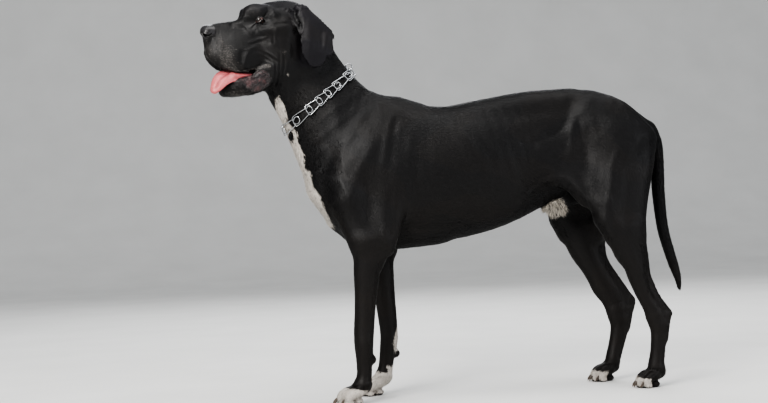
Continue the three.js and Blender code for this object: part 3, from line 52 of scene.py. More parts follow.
# ---------------------------------------------------------------- what the body is made of
# name, kind, add or cut, blend radius, [side axis, egg, cap, steps] or [side axis, long axis],
# rows of [x, y, z, half width, half depth], frame: W body, H head (forward, left, up), P a mirrored pair
BODY = [
["chest and belly","tube","add",20,[0,1,0,0.08,0.9,3],[[-78,0,630,86,152],[0,0,642,104,208],[100,0,635,117,201],[200,0,635,120,188],[300,0,655,113,183],[400,0,684,97,169],[470,0,703,87,158],[560,0,720,89,140],[640,0,727,87,114],[700,0,730,78,84],[738,0,722,56,60]],"W"],
["neck","tube","add",42,[0,1,0,0,0.85,4],[[-262,0,992,56,90],[-230,0,934,59,99],[-188,0,866,64,109],[-110,0,752,84,152],[-52,0,686,98,182],[10,0,648,101,188]],"W"],
["crest of neck","tube","add",34,[0,1,0,0,1,3],[[-172,0,1004,24,32],[-124,0,922,30,38],[-72,0,858,34,34],[-20,0,836,30,26],[44,0,824,22,18]],"W"],
["throat skin","tube","add",26,[0,1,0,0,1,3],[[-288,0,866,15,22],[-257,0,810,22,22],[-224,0,740,26,24],[-196,0,680,28,26]],"W"],
["forechest","blob","add",40,[0,1,0,1,0,0,0],[[-160,0,622,48,58,58]],"W"],
["breast","tube","add",34,[0,1,0,0,1,3],[[-168,34,606,38,42],[-126,46,543,42,46],[-84,54,492,42,44]],"WP"],
["brisket","tube","add",30,[0,1,0,0,1,3],[[-132,0,520,34,34],[-60,0,482,46,42],[40,0,470,48,38],[150,0,474,46,34]],"W"],
["withers","tube","add",30,[0,1,0,0,1,2],[[0,0,828,22,16],[50,0,828,24,17],[100,0,816,22,16]],"W"],
["shoulder blade","tube","add",34,[0,1,0,0,1,3],[[24,40,800,24,58],[-48,68,706,31,66],[-112,82,610,32,56]],"WP"],
["point of shoulder","blob","add",30,[0,1,0,1,0,0,0],[[-112,87,578,38,32,46]],"WP"],
["loin","tube","add",40,[0,1,0,0,1,3],[[170,18,785,26,20],[270,24,803,28,22],[400,30,826,30,24],[520,36,830,34,28]],"WP"],
["croup","tube","add",34,[0,1,0,0,1,2],[[560,30,826,34,32],[640,34,798,38,38],[706,26,760,34,36]],"WP"],
["tail root","tube","add",24,[0,1,0,0,1,2],[[705,0,756,34,32],[752,0,752,28,27],[786,0,738,23,23]],"W"],
["tail","tube","add",14,[0,1,0,0,1,3],[[782,0,742,24,23],[803,0,708,22,21.5],[808,0,660,20.5,21],[808.5,0,601,19.5,20.5],[809,0,553,18.5,20],[817,0,455,17,18],[836,0,377,15.5,16.5],[848,0,337,14,15],[857,0,305,11.5,11.5],[861,0,276,7,7.5]],"W"],
["flank fold","tube","add",40,[0,1,0,0,1,3],[[440,64,666,24,50],[500,75,640,24,50],[545,86,600,23,42],[576,97,548,20,34]],"WP"],
["flank","tube","add",34,[0,1,0,0,1,3],[[548,54,735,26,34],[558,58,690,27,38],[562,60,650,27,38],[562,64,612,26,36],[566,74,578,24,32]],"WP"],
["sheath","tube","add",18,[0,1,0,0,1,3],[[606,0,562,20,22],[540,0,548,22,22],[498,0,530,17,17],[484,0,525,11,12]],"W"],
["triceps near","tube","add",30,[0,1,0,0,1,3],[[10,-80,650,25,62],[-8,-93,560,27,58],[-14,-102,480,26,44],[-16,-105,448,23,30]],"W"],
["upper arm near","tube","add",30,[0,1,0,0,1,3],[[-113,-88,568,30,44],[-94,-96,505,29,45],[-70,-102,455,28,46]],"W"],
["elbow near","blob","add",12,[0,1,0,0,0,1,0],[[-3,-107,437,24,13,15]],"W"],
["forearm near","tube","add",24,[0,1,0,0.0,1,4],[[-56,-102,455,29,56],[-60,-101,410,28.5,48],[-69,-99,370,27,39],[-74,-97,315,25.5,33],[-79,-96,262,24.5,30],[-84,-95,205,25,29],[-86,-95,170,26.5,27.5],[-86,-95,140,24,25],[-87,-95,115,21.5,22.5],[-88,-95,84,22,21.5],[-92,-95,60,24,23]],"W"],
["wrist pad near","blob","add",8,[0,1,0,0,0,1,0],[[-61,-96,124,13,9,9]],"W"],
["triceps far","tube","add",30,[0,1,0,0,1,3],[[30,80,650,25,62],[22,92,560,27,58],[22,99,480,26,42],[24,101,440,22,30]],"W"],
["upper arm far","tube","add",30,[0,1,0,0,1,3],[[-108,88,568,30,44],[-64,95,505,29,44],[-14,99,440,27,38]],"W"],
["elbow far","blob","add",12,[0,1,0,0,0,1,0],[[33,102,425,24,13,15]],"W"],
["forearm far","tube","add",24,[0,1,0,0.0,1,4],[[-6,99,445,29,44],[-4,98,390,28.5,40],[0,95,330,27,35],[5,92,275,25,31],[9,90,225,24,29],[11,87,185,25,27],[11,86,166,26,27],[7,85,138,23.5,25],[2,84,112,21.5,22.5],[-3,83,82,22,21.5],[-8,82,60,24,23]],"W"],
["wrist pad far","blob","add",8,[0,1,0,0,0,1,0],[[32,86,120,13,9,10]],"W"],
["hip and rump","tube","add",36,[0,1,0,0,1,3],[[585,56,795,36,60],[650,71,755,40,78],[700,77,700,38,78]],"WP"],
["thigh near","tube","add",34,[0,1,0,0,1,4],[[690,-70,722,42,86],[672,-80,660,42,90],[658,-90,600,40,82],[645,-100,540,36,68],[636,-106,486,33,54]],"W"],
["back of thigh near","tube","add",30,[0,1,0,0,1,3],[[756,-50,712,34,34],[741,-64,650,37,37],[722,-80,580,36,37],[709,-94,510,31,34],[704,-101,440,27,30]],"W"],
["stifle near","tube","add",26,[0,1,0,0,1,2],[[616,-104,526,26,30],[618,-108,480,25,26],[636,-109,436,23,24]],"W"],
["gaskin near","tube","add",20,[0,1,0,0,1,3],[[668,-107,460,36,56],[681,-106,396,32,46],[696,-104,360,28.5,35],[703,-103,324,24.5,29],[713,-101,295,22,26.5],[722,-100,274,21,26],[734,-99,251,20.5,26],[746,-98,230,21,28],[754,-97,213,21.5,30]],"W"],
["hock tendon near","tube","add",12,[0,1,0,0,1,3],[[712,-101,462,12,20],[720,-103,415,10,17],[728,-104,375,9,13],[737,-102,324,8,9],[748,-100,295,8,9],[757,-99,274,8,9],[770,-98,250,8,9.5],[784,-97,230,9,10],[793,-97,212,9,11]],"W"],
["hock near","blob","add",16,[0,1,0,-0.2,0,1,0],[[762,-97,194,34,21,31]],"W"],
["heel bone near","tube","add",10,[0,1,0,0,1,2],[[792,-97,211,12,12],[782,-97,180,12,15],[776,-96,140,12,14]],"W"],
["back pastern near","tube","add",14,[0,1,0,0,1,3],[[764,-96,180,20,25],[762,-96,140,19,23],[758,-95,100,19,22],[752,-94,66,22,23]],"W"],
["thigh far","tube","add",34,[0,1,0,0,1,4],[[676,70,722,42,86],[645,80,660,42,88],[612,90,600,40,80],[578,100,540,36,66],[560,106,490,33,52]],"W"],
["back of thigh far","tube","add",30,[0,1,0,0,1,3],[[746,50,712,34,34],[724,64,645,37,38],[697,80,575,36,40],[668,94,505,31,38],[648,101,440,27,32]],"W"],
["stifle far","tube","add",26,[0,1,0,0,1,2],[[537,104,526,26,30],[536,108,482,25,26],[554,109,441,23,24]],"W"],
["gaskin far","tube","add",20,[0,1,0,0,1,3],[[594,110,460,36,58],[606,110,410,32,51],[618,110,380,29,46],[634,110,350,27,41],[651,109,315,24.5,39],[667,109,286,22.5,42],[685,108,261,21,40.5],[698,108,240,21,41],[703,108,219,21.5,37]],"W"],
["hock tendon far","tube","add",12,[0,1,0,0,1,3],[[652,106,455,12,20],[658,109,412,10,17],[667,110,372,9,12],[682,110,345,8,9],[701,110,315,8,9],[720,109,286,8,9],[736,109,261,8,9.5],[748,108,240,9,10],[745,108,220,9,10]],"W"],
["hock far","blob","add",16,[0,1,0,-0.3,0,1,0],[[707,108,200,34,21,36]],"W"],
["heel bone far","tube","add",10,[0,1,0,0,1,2],[[748,108,237,12,11],[738,108,205,12,14],[727,108,160,12,13]],"W"],
["back pastern far","tube","add",14,[0,1,0,0,1,3],[[710,108,185,20,30],[705,108,145,19,27],[695,108,106,19,24],[685,108,72,22,23]],"W"],
]
HEAD = [
["braincase","blob","add",12,[0,1,0,1,0,0,0],[[-62,0,-20,84,56,66]],"H"],
["occiput","tube","add",24,[0,1,0,0,1,2],[[-40,0,22,24,22],[-90,0,14,20,22],[-122,0,4,15,18]],"H"],
["temple","tube","add",22,[0,1,0,0,1,3],[[-20,36,4,18,26],[-60,44,-14,22,36],[-96,40,-30,24,40]],"HP"],
["forehead","blob","add",26,[0,1,0,1,0,0,0],[[2,0,5,46,41,37]],"H"],
["brow","tube","add",26,[0,1,0,0,1,3],[[29,28,22,12,19],[14,34,25,14,20],[-6,43,18,12,18],[-26,50,6,10,16]],"HP"],
["nape","tube","add",36,[0,1,0,0,1,2],[[-88,0,-20,48,50],[-106,0,-70,56,60],[-116,0,-120,60,70]],"H"],
["bridge","tube","add",14,[0,1,0,-0.1,0.6,3],[[8,0,-10,30,28],[45,0,-14,25,24],[80,0,-15,23,23],[110,0,-15,22,23],[134,0,-17,20,22]],"H"],
["muzzle","tube","add",18,[0,1,0,0,0.6,3],[[-6,0,-58,42,52],[50,0,-56,37,50],[100,0,-52,31,46],[134,0,-44,23,32]],"H"],
["cheek bone","tube","add",14,[0,1,0,0,1,3],[[30,39,-26,11,13],[6,49,-30,11,12],[-24,57,-29,11,13],[-62,62,-28,12,16]],"HP"],
["cheek","blob","add",24,[0,1,0,1,0,-0.1,0],[[-46,47,-76,46,25,52]],"HP"],
["upper lip","tube","add",14,[0,1,0,-0.3,0.8,3],[[140,13,-50,11,34],[122,24,-64,13,48],[96,31,-77,14,56],[62,37,-82,14,57],[28,40,-80,14,52],[-4,43,-82,13,44]],"HP"],
["jaw","tube","add",12,[0,1,0,0,0.8,3],[[126,0,-185,16,14],[100,0,-186,22,17],[66,0,-182,28,20],[30,0,-172,34,26],[-8,0,-150,42,38],[-44,0,-120,48,52]],"H"],
["lower lip","tube","add",8,[0,1,0,0,1,3],[[126,13,-178,10,18],[106,21,-176,10,22],[86,28,-176,10,25],[66,33,-176,11,26],[36,39,-173,12,28],[10,44,-158,12,31],[-14,47,-138,11,28]],"HP"],
["mouth floor","tube","add",8,[0,1,0,0,1,2],[[30,0,-165,24,10],[80,0,-165,24,11],[114,2,-168,17,11]],"H"],
["angle of jaw","blob","add",26,[0,1,0,1,0,-0.5,0],[[-44,44,-132,38,22,40]],"HP"],
["throat latch","blob","add",34,[0,1,0,1,0,0,0],[[-44,0,-172,44,42,44]],"H"],
["mouth","tube","cut",6,[0,1,0,0,1,2],[[152,0,-137,36,18],[104,0,-141,36,13],[62,0,-147,34,9],[24,0,-150,30,6]],"H"],
["lip front","tube","add",10,[0,1,0,0,1,2],[[151,0,-32,12,12],[149.5,0,-56,13,12],[146,0,-80,12,11.5]],"H"],
["inner corner","tube","add",20,[0,1,0,0,1,2],[[70,20,-10,8,12],[45,28,-4,11,16],[22,36,0,12,17]],"HP"],
["eye socket","blob","cut",6,[0,1,0,1,0.3,0,0],[[3,55,-2,13.5,9,8]],"HP"],
["nostril wing","blob","add",6,[0,1,0,1,0.2,0,0],[[143,14,-18,20,12,18]],"HP"],
["nose pad","blob","add",6,[0,1,0,1,0,0,0],[[148,0,-12,19,19,19]],"H"],
]
EAR = [
["ear flap","tube","add",5,[0,1,0,0,0.8,4],[[-98,58,8,9,14],[-110,70,8,8,22],[-124,78,-16,7,26],[-135,84,-43,6.5,38],[-141,88,-72,6.2,54],[-140,90,-88,6,55],[-130,93,-113,6,45],[-122,94,-136,5.6,30],[-114,94,-149,5.4,15]],"HP"],
["ear rim","tube","add",5,[0,1,0,0,1,3],[[-78,60,20,4,8],[-84,66,-8,4.5,10],[-94,76,-38,4.5,8],[-100,82,-56,4,8]],"HP"],
]
TONGUE = [
["tongue body","tube","add",12,[0,1,0,0,0.7,3],[[10,0,-152,22,8],[50,2,-150,27,11],[80,7,-147,27,11.5],[100,13,-142.5,25,9.5]],"H"],
["tongue tip","tube","add",14,[0.50,-0.50,0.70,0,1,3],[[90,12,-145,24,8.5],[112,22,-145,25,6.5],[130,28,-151,25,5],[146,32,-167,20,4.6],[157,33,-180,13,4.2],[160,33,-184,9,3.6]],"H"],
]
# relief that shows on the sides: name, width, height, points (forward, up) on the head or (x, z) on the body
HEAD_STROKES = [
["under eye crease",2.2,-1.6,[[24.2,-23.8],[7.3,-31.6],[-11.3,-27.9],[-25.7,-22.2]]],
["under eye bag",4.0,1.2,[[23.3,-18.0],[6.1,-23.5],[-12.1,-22.1]]],
["stop ridge",5,1.6,[[56.1,5.0],[33.4,17.1],[13.3,31.0]]],
["stop hollow",7,-2.2,[[46.9,-8.3],[30.6,0.1],[17.3,8.9]]],
["brow",6,1.6,[[16.1,20.3],[-2.0,20.6],[-21.1,7.2],[-30.9,-8.7]]],
["zygoma groove",5,-2.4,[[-27.9,-20.0],[-46.0,-20.3],[-75.8,-22.5]]],
["cheek front ridge",6,1.6,[[-35.4,-29.4],[-27.8,-48.5],[-23.6,-68.6],[-26.5,-83.7]]],
["cheek hollow",9,-2.0,[[-13.7,-38.1],[-12.2,-58.5],[-14.0,-76.3]]],
["cheek v fold",2.6,1.6,[[45.7,-57.9],[29.4,-59.0],[16.7,-54.6],[3.0,-53.3],[-14.6,-45.9]]],
["cheek v groove",2.6,-1.4,[[42.6,-67.1],[21.0,-62.9],[2.9,-63.0]]],
["fold one",2.4,1.9,[[60.0,-81.4],[44.5,-77.9],[26.2,-75.1],[9.9,-86.8],[-3.8,-96.4],[-16.9,-109.7],[-31.9,-120.4]]],
["fold one groove",2.4,-1.8,[[33.1,-81.7],[16.6,-91.6],[0.3,-103.3],[-14.3,-116.8],[-29.4,-127.5]]],
["fold two",2.4,1.7,[[22.6,-91.7],[8.7,-99.3],[-5.9,-112.8],[-20.8,-124.1]]],
["fold two groove",2.4,-1.5,[[23.7,-98.9],[9.8,-106.5],[-4.8,-120.1],[-15.8,-127.3]]],
["fold three",2.6,1.2,[[36.9,-107.6],[19.7,-112.7],[-0.1,-121.5],[-11.6,-125.3]]],
["lip fold",4,1.4,[[36.3,-80.7],[50.8,-87.8],[59.6,-102.9],[64.3,-118.4],[63.0,-130.3]]],
["lip hollow",6,-1.5,[[62.7,-77.5],[69.7,-94.3],[74.1,-114.3]]],
["muzzle side",9,1.2,[[117.8,-44.0],[124.5,-69.6],[119.5,-96.5],[104.1,-113.0]]],
["muzzle upper line",4,1.0,[[124.6,2.8],[95.0,2.3],[65.6,-1.1],[51.9,-10.0]]],
["behind lips 1",2.6,1.8,[[-12.4,-125.7],[-12.8,-143.4],[-8.5,-166.4],[-4.3,-180.6]]],
["behind lips 1g",2.6,-1.8,[[-18.9,-126.5],[-18.7,-144.1],[-13.8,-167.1],[-8.3,-184.1]]],
["behind lips 2",2.6,1.8,[[-25.2,-115.7],[-24.8,-133.3],[-20.8,-156.4],[-15.9,-179.4],[-11.4,-199.4]]],
["behind lips 2g",2.6,-1.8,[[-33.5,-104.9],[-31.4,-125.3],[-26.9,-151.3],[-20.9,-180.0]]],
["behind lips 3",3,1.7,[[-39.2,-94.0],[-39.6,-111.7],[-36.2,-134.9],[-30.7,-157.8]]],
["behind lips 3g",3,-1.6,[[-45.2,-106.5],[-43.4,-126.9],[-38.3,-152.9],[-32.6,-175.7]]],
["jowl 4",4,1.4,[[-51.9,-98.7],[-51.9,-119.3],[-47.6,-142.4],[-38.9,-170.8]]],
["jowl hollow",8,-1.8,[[-71.0,-62.9],[-73.9,-83.8],[-71.6,-110.1],[-59.7,-129.3]]],
["throat fold",5,1.8,[[-7.4,-150.3],[-11.0,-177.4],[-15.0,-201.5],[-21.2,-221.6]]],
["throat fold g",4,-1.6,[[-18.0,-154.9],[-21.6,-182.0],[-24.5,-203.0],[-29.0,-224.3]]],
["gland",9,1.6,[[-71.3,-139.7],[-73.9,-148.9]]],
["ear rim ridge",3,1.5,[[-105.4,7.4],[-111.4,-13.8],[-105.6,-42.5],[-90.3,-64.2],[-83.5,-84.0],[-83.1,-113.3],[-92.2,-143.8]]],
["ear hollow",9,-2.2,[[-158.2,-46.4],[-150.9,-69.1],[-149.5,-95.4],[-151.0,-116.2]]],
["ear ridge",9,1.6,[[-171.5,-59.7],[-166.6,-82.7],[-156.1,-102.1],[-142.7,-121.1]]],
["ear ridge two",12,1.4,[[-119.9,-18.4],[-120.7,-53.7],[-117.1,-88.6],[-110.5,-123.1]]],
["lip rim",2.0,1.3,[[126.7,-105.1],[107.0,-122.2],[82.4,-137.5],[58.7,-138.7],[40.1,-134.8],[15.5,-130.5],[-2.7,-129.8]]],
["lower lip rim",3,1.5,[[-0.2,-149.9],[-3.7,-171.0],[8.8,-190.1],[31.1,-198.5],[49.3,-199.7],[65.6,-188.8],[74.7,-173.0]]],
["lower lip groove",4,-2.0,[[74.2,-155.4],[71.9,-170.4],[65.2,-185.9]]],
["lower lip fold",3,1.4,[[97.3,-162.6],[82.4,-163.0],[76.3,-172.6],[82.9,-186.5]]],
["chin fold",3,-1.4,[[103.0,-166.0],[92.9,-179.0],[82.5,-189.2]]],
]
BODY_STROKES = [
["scapula spine",9,3.0,[[21.0,810.0],[6.0,764.0],[-5.0,710.0],[-13.0,663.0]]],
["hollow behind spine",8,-4.0,[[34.0,798.0],[25.0,775.0],[18.0,754.0]]],
["shoulder front groove",12,-3.5,[[-29.0,816.0],[-66.0,774.0],[-95.0,729.0],[-120.0,691.0]]],
["shoulder muscle",16,3.0,[[-25.0,757.0],[-58.0,696.0],[-88.0,635.0],[-102.0,589.0]]],
["shoulder point ridge",7,2.6,[[-146.0,653.0],[-132.0,618.0],[-117.0,582.0],[-109.0,551.0]]],
["shoulder vein",3,1.2,[[-132.0,706.0],[-125.0,660.0],[-111.0,613.0],[-99.0,558.0]]],
["triceps groove",10,-3.0,[[1.0,593.0],[0.0,539.0],[-3.0,492.0],[-3.0,454.0]]],
["triceps front groove",8,-2.2,[[-64.0,595.0],[-68.0,542.0],[-64.0,495.0]]],
["elbow ridge",7,2.2,[[-22.0,501.0],[-19.0,470.0],[-28.0,443.0]]],
["forearm ridge",7,1.6,[[-57.0,448.0],[-52.0,394.0],[-54.0,324.0]]],
["forearm groove",6,-1.6,[[-32.0,424.0],[-32.0,370.0],[-36.0,308.0]]],
["rib one",10,1.2,[[173.0,772.0],[210.0,717.0],[231.0,638.0],[235.0,560.0]]],
["rib two",10,1.2,[[220.0,763.0],[261.0,707.0],[286.0,636.0],[292.0,581.0]]],
["rib three",10,1.2,[[267.0,754.0],[309.0,698.0],[334.0,642.0]]],
["chest bottom line",12,-1.6,[[17.0,491.0],[103.0,480.0],[199.0,491.0],[296.0,526.0]]],
["loin edge",12,-3.2,[[534.0,789.0],[504.0,750.0],[446.0,721.0],[382.0,707.0]]],
["loin muscle",16,1.5,[[511.0,794.0],[437.0,773.0],[356.0,760.0]]],
["hip hollow",11,-4.5,[[553,788],[555,750],[557,708]]],
["hip front ridge",9,2.6,[[532.0,773.0],[532.0,722.0],[522.0,667.0]]],
["hip ridge",12,2.5,[[586,783],[596,725],[604,690]]],
["flank ridge",7,4.0,[[365.0,533.0],[403.0,569.0],[449.0,602.0],[493.0,610.0],[522.0,604.0]]],
["flank ridge back",7,3.6,[[506.0,609.0],[537.0,583.0],[568.0,543.0],[591.0,506.0]]],
["flank hollow",14,-2.2,[[461,650],[505,652],[540,625],[575,566]]],
["thigh ridge",9,3.0,[[657.0,689.0],[636.0,631.0],[628.0,576.0],[610.0,513.0]]],
["thigh hollow",14,-1.6,[[606,668],[599,616],[592,560]]],
["thigh groove back",10,-2.4,[[690.0,644.0],[675.0,582.0],[664.0,511.0],[666.0,448.0]]],
["buttock groove",12,-2.5,[[739.0,739.0],[733.0,683.0],[726.0,620.0]]],
["stifle ridge",9,2.2,[[606.0,510.0],[612.0,466.0],[631.0,426.0]]],
["gaskin groove",6,-2.4,[[684,425],[706,372],[722,330],[738,290],[755,250]]],
["gaskin vein",3.2,1.6,[[706,372],[716,340],[728,300],[744,262]]],
["thigh vein",3.2,1.1,[[624.0,560.0],[634.0,497.0],[658.0,448.0],[687.0,400.0]]],
["croup groove",14,-2.0,[[632.0,823.0],[688.0,790.0],[744.0,752.0]]],
["neck groove",14,-2.6,[[-203.0,826.0],[-175.0,763.0],[-158.0,708.0]]],
["neck muscle",16,2.0,[[-139.0,863.0],[-134.0,800.0],[-132.0,738.0]]],
["neck crease 1",5,-1.4,[[-82.0,885.0],[-87.0,854.0],[-101.0,815.0]]],
["neck crease 2",5,-1.4,[[-55.0,872.0],[-67.0,837.0],[-86.0,799.0]]],
["crest bump 1",7,2.2,[[-70.0,898.0],[-65.0,891.0]]],
["crest bump 2",7,2.0,[[-39.0,878.0],[-34.0,872.0]]],
["crest bump 3",7,1.8,[[-8.0,861.0],[-3.0,855.0]]],
]
POLY = {
"grizzle": [[130.5,-39.6],[113.1,-32.8],[105.3,-60.1],[90.2,-79.5],[96.1,-99.4],[76.1,-125.3],[81.1,-139.4],[114.2,-120.6],[131.2,-95.1],[139.1,-67.8]],
"lip line": [[127.6,-103.4],[106.1,-119.2],[81.6,-134.5],[57.9,-136.3],[39.4,-132.7],[14.7,-128.1],[-3.5,-127.3],[-3.2,-133.2],[15.7,-134.7],[40.2,-138.4],[58.8,-142.6],[82.5,-141.1],[107.2,-126.4],[128.4,-109.1]],
"mouth inside lip": [[76.9,-143.3],[41.2,-144.8],[15.9,-136.2],[-0.2,-149.9],[-3.7,-171.0],[8.8,-190.1],[31.1,-198.5],[49.3,-199.7],[65.6,-188.8],[74.7,-173.0],[79.0,-157.7]],
"front lower lip": [[99.7,-156.8],[73.6,-142.4],[69.1,-172.5],[63.2,-193.9],[82.1,-200.3],[109.2,-201.2],[122.8,-192.2],[127.4,-182.8]],
"ear canal": [[-92.1,7.0],[-105.3,-6.3],[-109.7,-21.5],[-104.9,-46.0],[-95.5,-42.0],[-90.7,-19.3],[-87.4,-4.3]],
"white spot": [[-47.0,-157.0],[-53.5,-157.8],[-52.0,-168.0],[-45.5,-167.2]],
"mole": [[-41.5,-91.6],[-56.3,-93.3],[-54.2,-107.8],[-39.4,-106.0]],
}


def V(*a):
    return np.array(a, float)


def unit(a):
    a = np.asarray(a, float)
    return a / np.linalg.norm(a)


E0 = V(-340, -20, 1083)
yaw, pitch = math.radians(8), math.radians(6)
HF = V(-math.cos(pitch) * math.cos(yaw), -math.cos(pitch) * math.sin(yaw), -math.sin(pitch))
HL = V(math.sin(yaw), -math.cos(yaw), 0)
HU = np.cross(HF, HL)
HU = HU if HU[2] > 0 else -HU
HM = np.stack([HF, HL, HU])


def head(a, b, c):
    return E0 + HF * a + HL * b + HU * c


def to_head(P):
    return (P - E0) @ HM.T


EYE_C = {1: head(2, 41, -2), -1: head(2, -41, -2)}
eye_lo, eye_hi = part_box("eye_left")
SHIFT = (np.array(eye_lo) + np.array(eye_hi)) / 2 - EYE_C[1] / 1000


def put(P):
    return (np.asarray(P, float) / 1000 + SHIFT).astype(f32)


# ---------------------------------------------------------------- rounded solids and their blended distance
def catmull(pts, n):
    pts = np.asarray(pts, float)
    if len(pts) < 3:
        return pts
    out = []
    for i in range(len(pts) - 1):
        p0 = pts[i - 1] if i > 0 else 2 * pts[0] - pts[1]
        p1, p2 = pts[i], pts[i + 1]
        p3 = pts[i + 2] if i + 2 < len(pts) else 2 * pts[-1] - pts[-2]
        for j in range(n):
            t = j / n
            out.append(0.5 * ((2 * p1) + (p2 - p0) * t + (2 * p0 - 5 * p1 + 4 * p2 - p3) * t * t + (3 * p1 - p0 - 3 * p2 + p3) * t ** 3))
    out.append(pts[-1])
    return np.array(out)


class Seg:
    pass


def make_segs(pts, side, egg, cap, n):
    P = catmull(pts, n)
    segs = []
    for a, b in zip(P[:-1], P[1:]):
        s = Seg()
        d = b[:3] - a[:3]
        s.L = float(np.linalg.norm(d))
        s.T = d / s.L
        s.A = a[:3]
        s.W = unit(np.asarray(side, float) - np.dot(side, s.T) * s.T)
        s.V = np.cross(s.T, s.W)
        if s.V[2] < 0 or (abs(s.V[2]) < 1e-6 and s.V[0] > 0):
            s.V = -s.V
        s.ra = (a[3], a[4], min(a[3], a[4]) * cap)
        s.rb = (b[3], b[4], min(b[3], b[4]) * cap)
        s.egg = egg
        segs.append(s)
    return segs


def make_blob(c, r, T, side):
    s = Seg()
    s.A = np.asarray(c, float)
    s.T = unit(T)
    s.L = 0.0
    s.W = unit(np.asarray(side, float) - np.dot(side, s.T) * s.T)
    s.V = np.cross(s.T, s.W)
    if s.V[2] < 0:
        s.V = -s.V
    s.ra = s.rb = (r[1], r[2], r[0])
    s.egg = 0.0
    return [s]


class Prim:
    def __init__(self, name, op, k, segs):
        self.name, self.op, self.k, self.segs = name, op, float(k), segs
        for s in segs:
            lo, hi = np.full(3, 1e9), np.full(3, -1e9)
            for p, r in ((s.A, s.ra), (s.A + s.T * s.L, s.rb)):
                m = max(r) * (1 + abs(s.egg))
                lo, hi = np.minimum(lo, p - m), np.maximum(hi, p + m)
            s.lo, s.hi = lo, hi


def from_table(table):
    out = []
    for name, kind, op, k, o, rows, fr in table:
        for sg in (1, -1) if fr.endswith("P") else (1,):
            inhead = fr[0] == "H"
            rr = [(list(head(r[0], r[1] * sg, r[2])) if inhead else [r[0], r[1] * sg, r[2]]) + list(r[3:]) for r in rows]
            if kind == "tube":
                side = HF * o[0] + HL * o[1] + HU * o[2] if inhead and o[0] else (HL if inhead else V(*o[:3]))
                out.append(Prim(name, op, k, make_segs(rr, side, o[3], o[4], int(o[5]))))
            else:
                T = HF * o[3] + HL * o[4] * sg + HU * o[5] if inhead else V(o[3], o[4] * sg, o[5])
                out.append(Prim(name, op, k, make_blob(rr[0][:3], rr[0][3:6], T, HL if inhead else V(*o[:3]))))
    return out


CLAWS = []


def foot(cx, cy, zt, turn, front=True):
    a = math.radians(turn)
    f, l, u = V(-math.cos(a), math.sin(a), 0), V(math.sin(a), math.cos(a), 0), V(0, 0, 1)
    s = 1.0 if front else 0.9

    def w(p):
        return V(cx, cy, 0) + f * p[0] * s + l * p[1] + u * p[2]

    out = []

    def tube(name, k, rows):
        out.append(Prim(name, "add", k, make_segs([list(w(r[:3])) + list(r[3:]) for r in rows], l, 0, 1, 3)))

    def blob(name, k, c, r):
        out.append(Prim(name, "add", k, make_blob(w(c), r, u, l)))

    tube("foot", 14, [(-2, 0, zt, 23 * s, 23), (12, 0, 42, 25 * s, 22), (26, 0, 34, 28 * s, 18)])
    for b0, b1, mid in ((-20, -27, 0), (-8.5, -10, 1), (8.5, 10, 1), (20, 27, 0)):
        b0, b1 = b0 * s, b1 * s
        if mid:
            tube("toe", 7, [(20, b0, 40, 11 * s, 13), (42, b0 * 1.1, 38, 11.5 * s, 13.5), (57, b1, 26, 11 * s, 13), (63, b1, 16, 9.5 * s, 10)])
        else:
            tube("toe", 7, [(8, b0, 38, 10.5 * s, 13), (26, b0 * 1.2, 34, 11 * s, 14), (40, b1, 24, 10.5 * s, 13), (45, b1, 15, 9.5 * s, 10)])
        blob("toe pad", 4, (57 if mid else 39, b1, 9), (9.5, 10 * s, 13))
        tip = 63 if mid else 45
        CLAWS.append(([w((tip - 4, b1, 21)), w((tip + 6, b1, 19)), w((tip + 15, b1 * 1.01, 11.5)), w((tip + 18, b1 * 1.02, 4.5))], l))
    blob("large pad", 6, (16, 0, 11), (12, 21 * s, 19))
    return out


FEET = {"fore_left": (-96, -95, 52, 0, True), "fore_right": (-14, 81, 52, 4, True), "hind_left": (757, -95, 48, 3, False), "hind_right": (680, 108, 48, 0, False)}
body_prims = from_table(BODY)
head_prims = from_table(HEAD)
foot_prims = [p for f in FEET.values() for p in foot(*f)]
ground = Prim("ground", "cut", 5, make_segs([[-300, 0, -60, 400, 60], [1000, 0, -60, 400, 60]], V(0, 1, 0), 0, 1, 1))
plain = [p for p in body_prims + head_prims + foot_prims if p.op == "add"] + [p for p in body_prims + head_prims if p.op == "cut"] + [ground]
ears = from_table(EAR)
ear_prims = [p for p in ears]
SKIN = plain + ear_prims


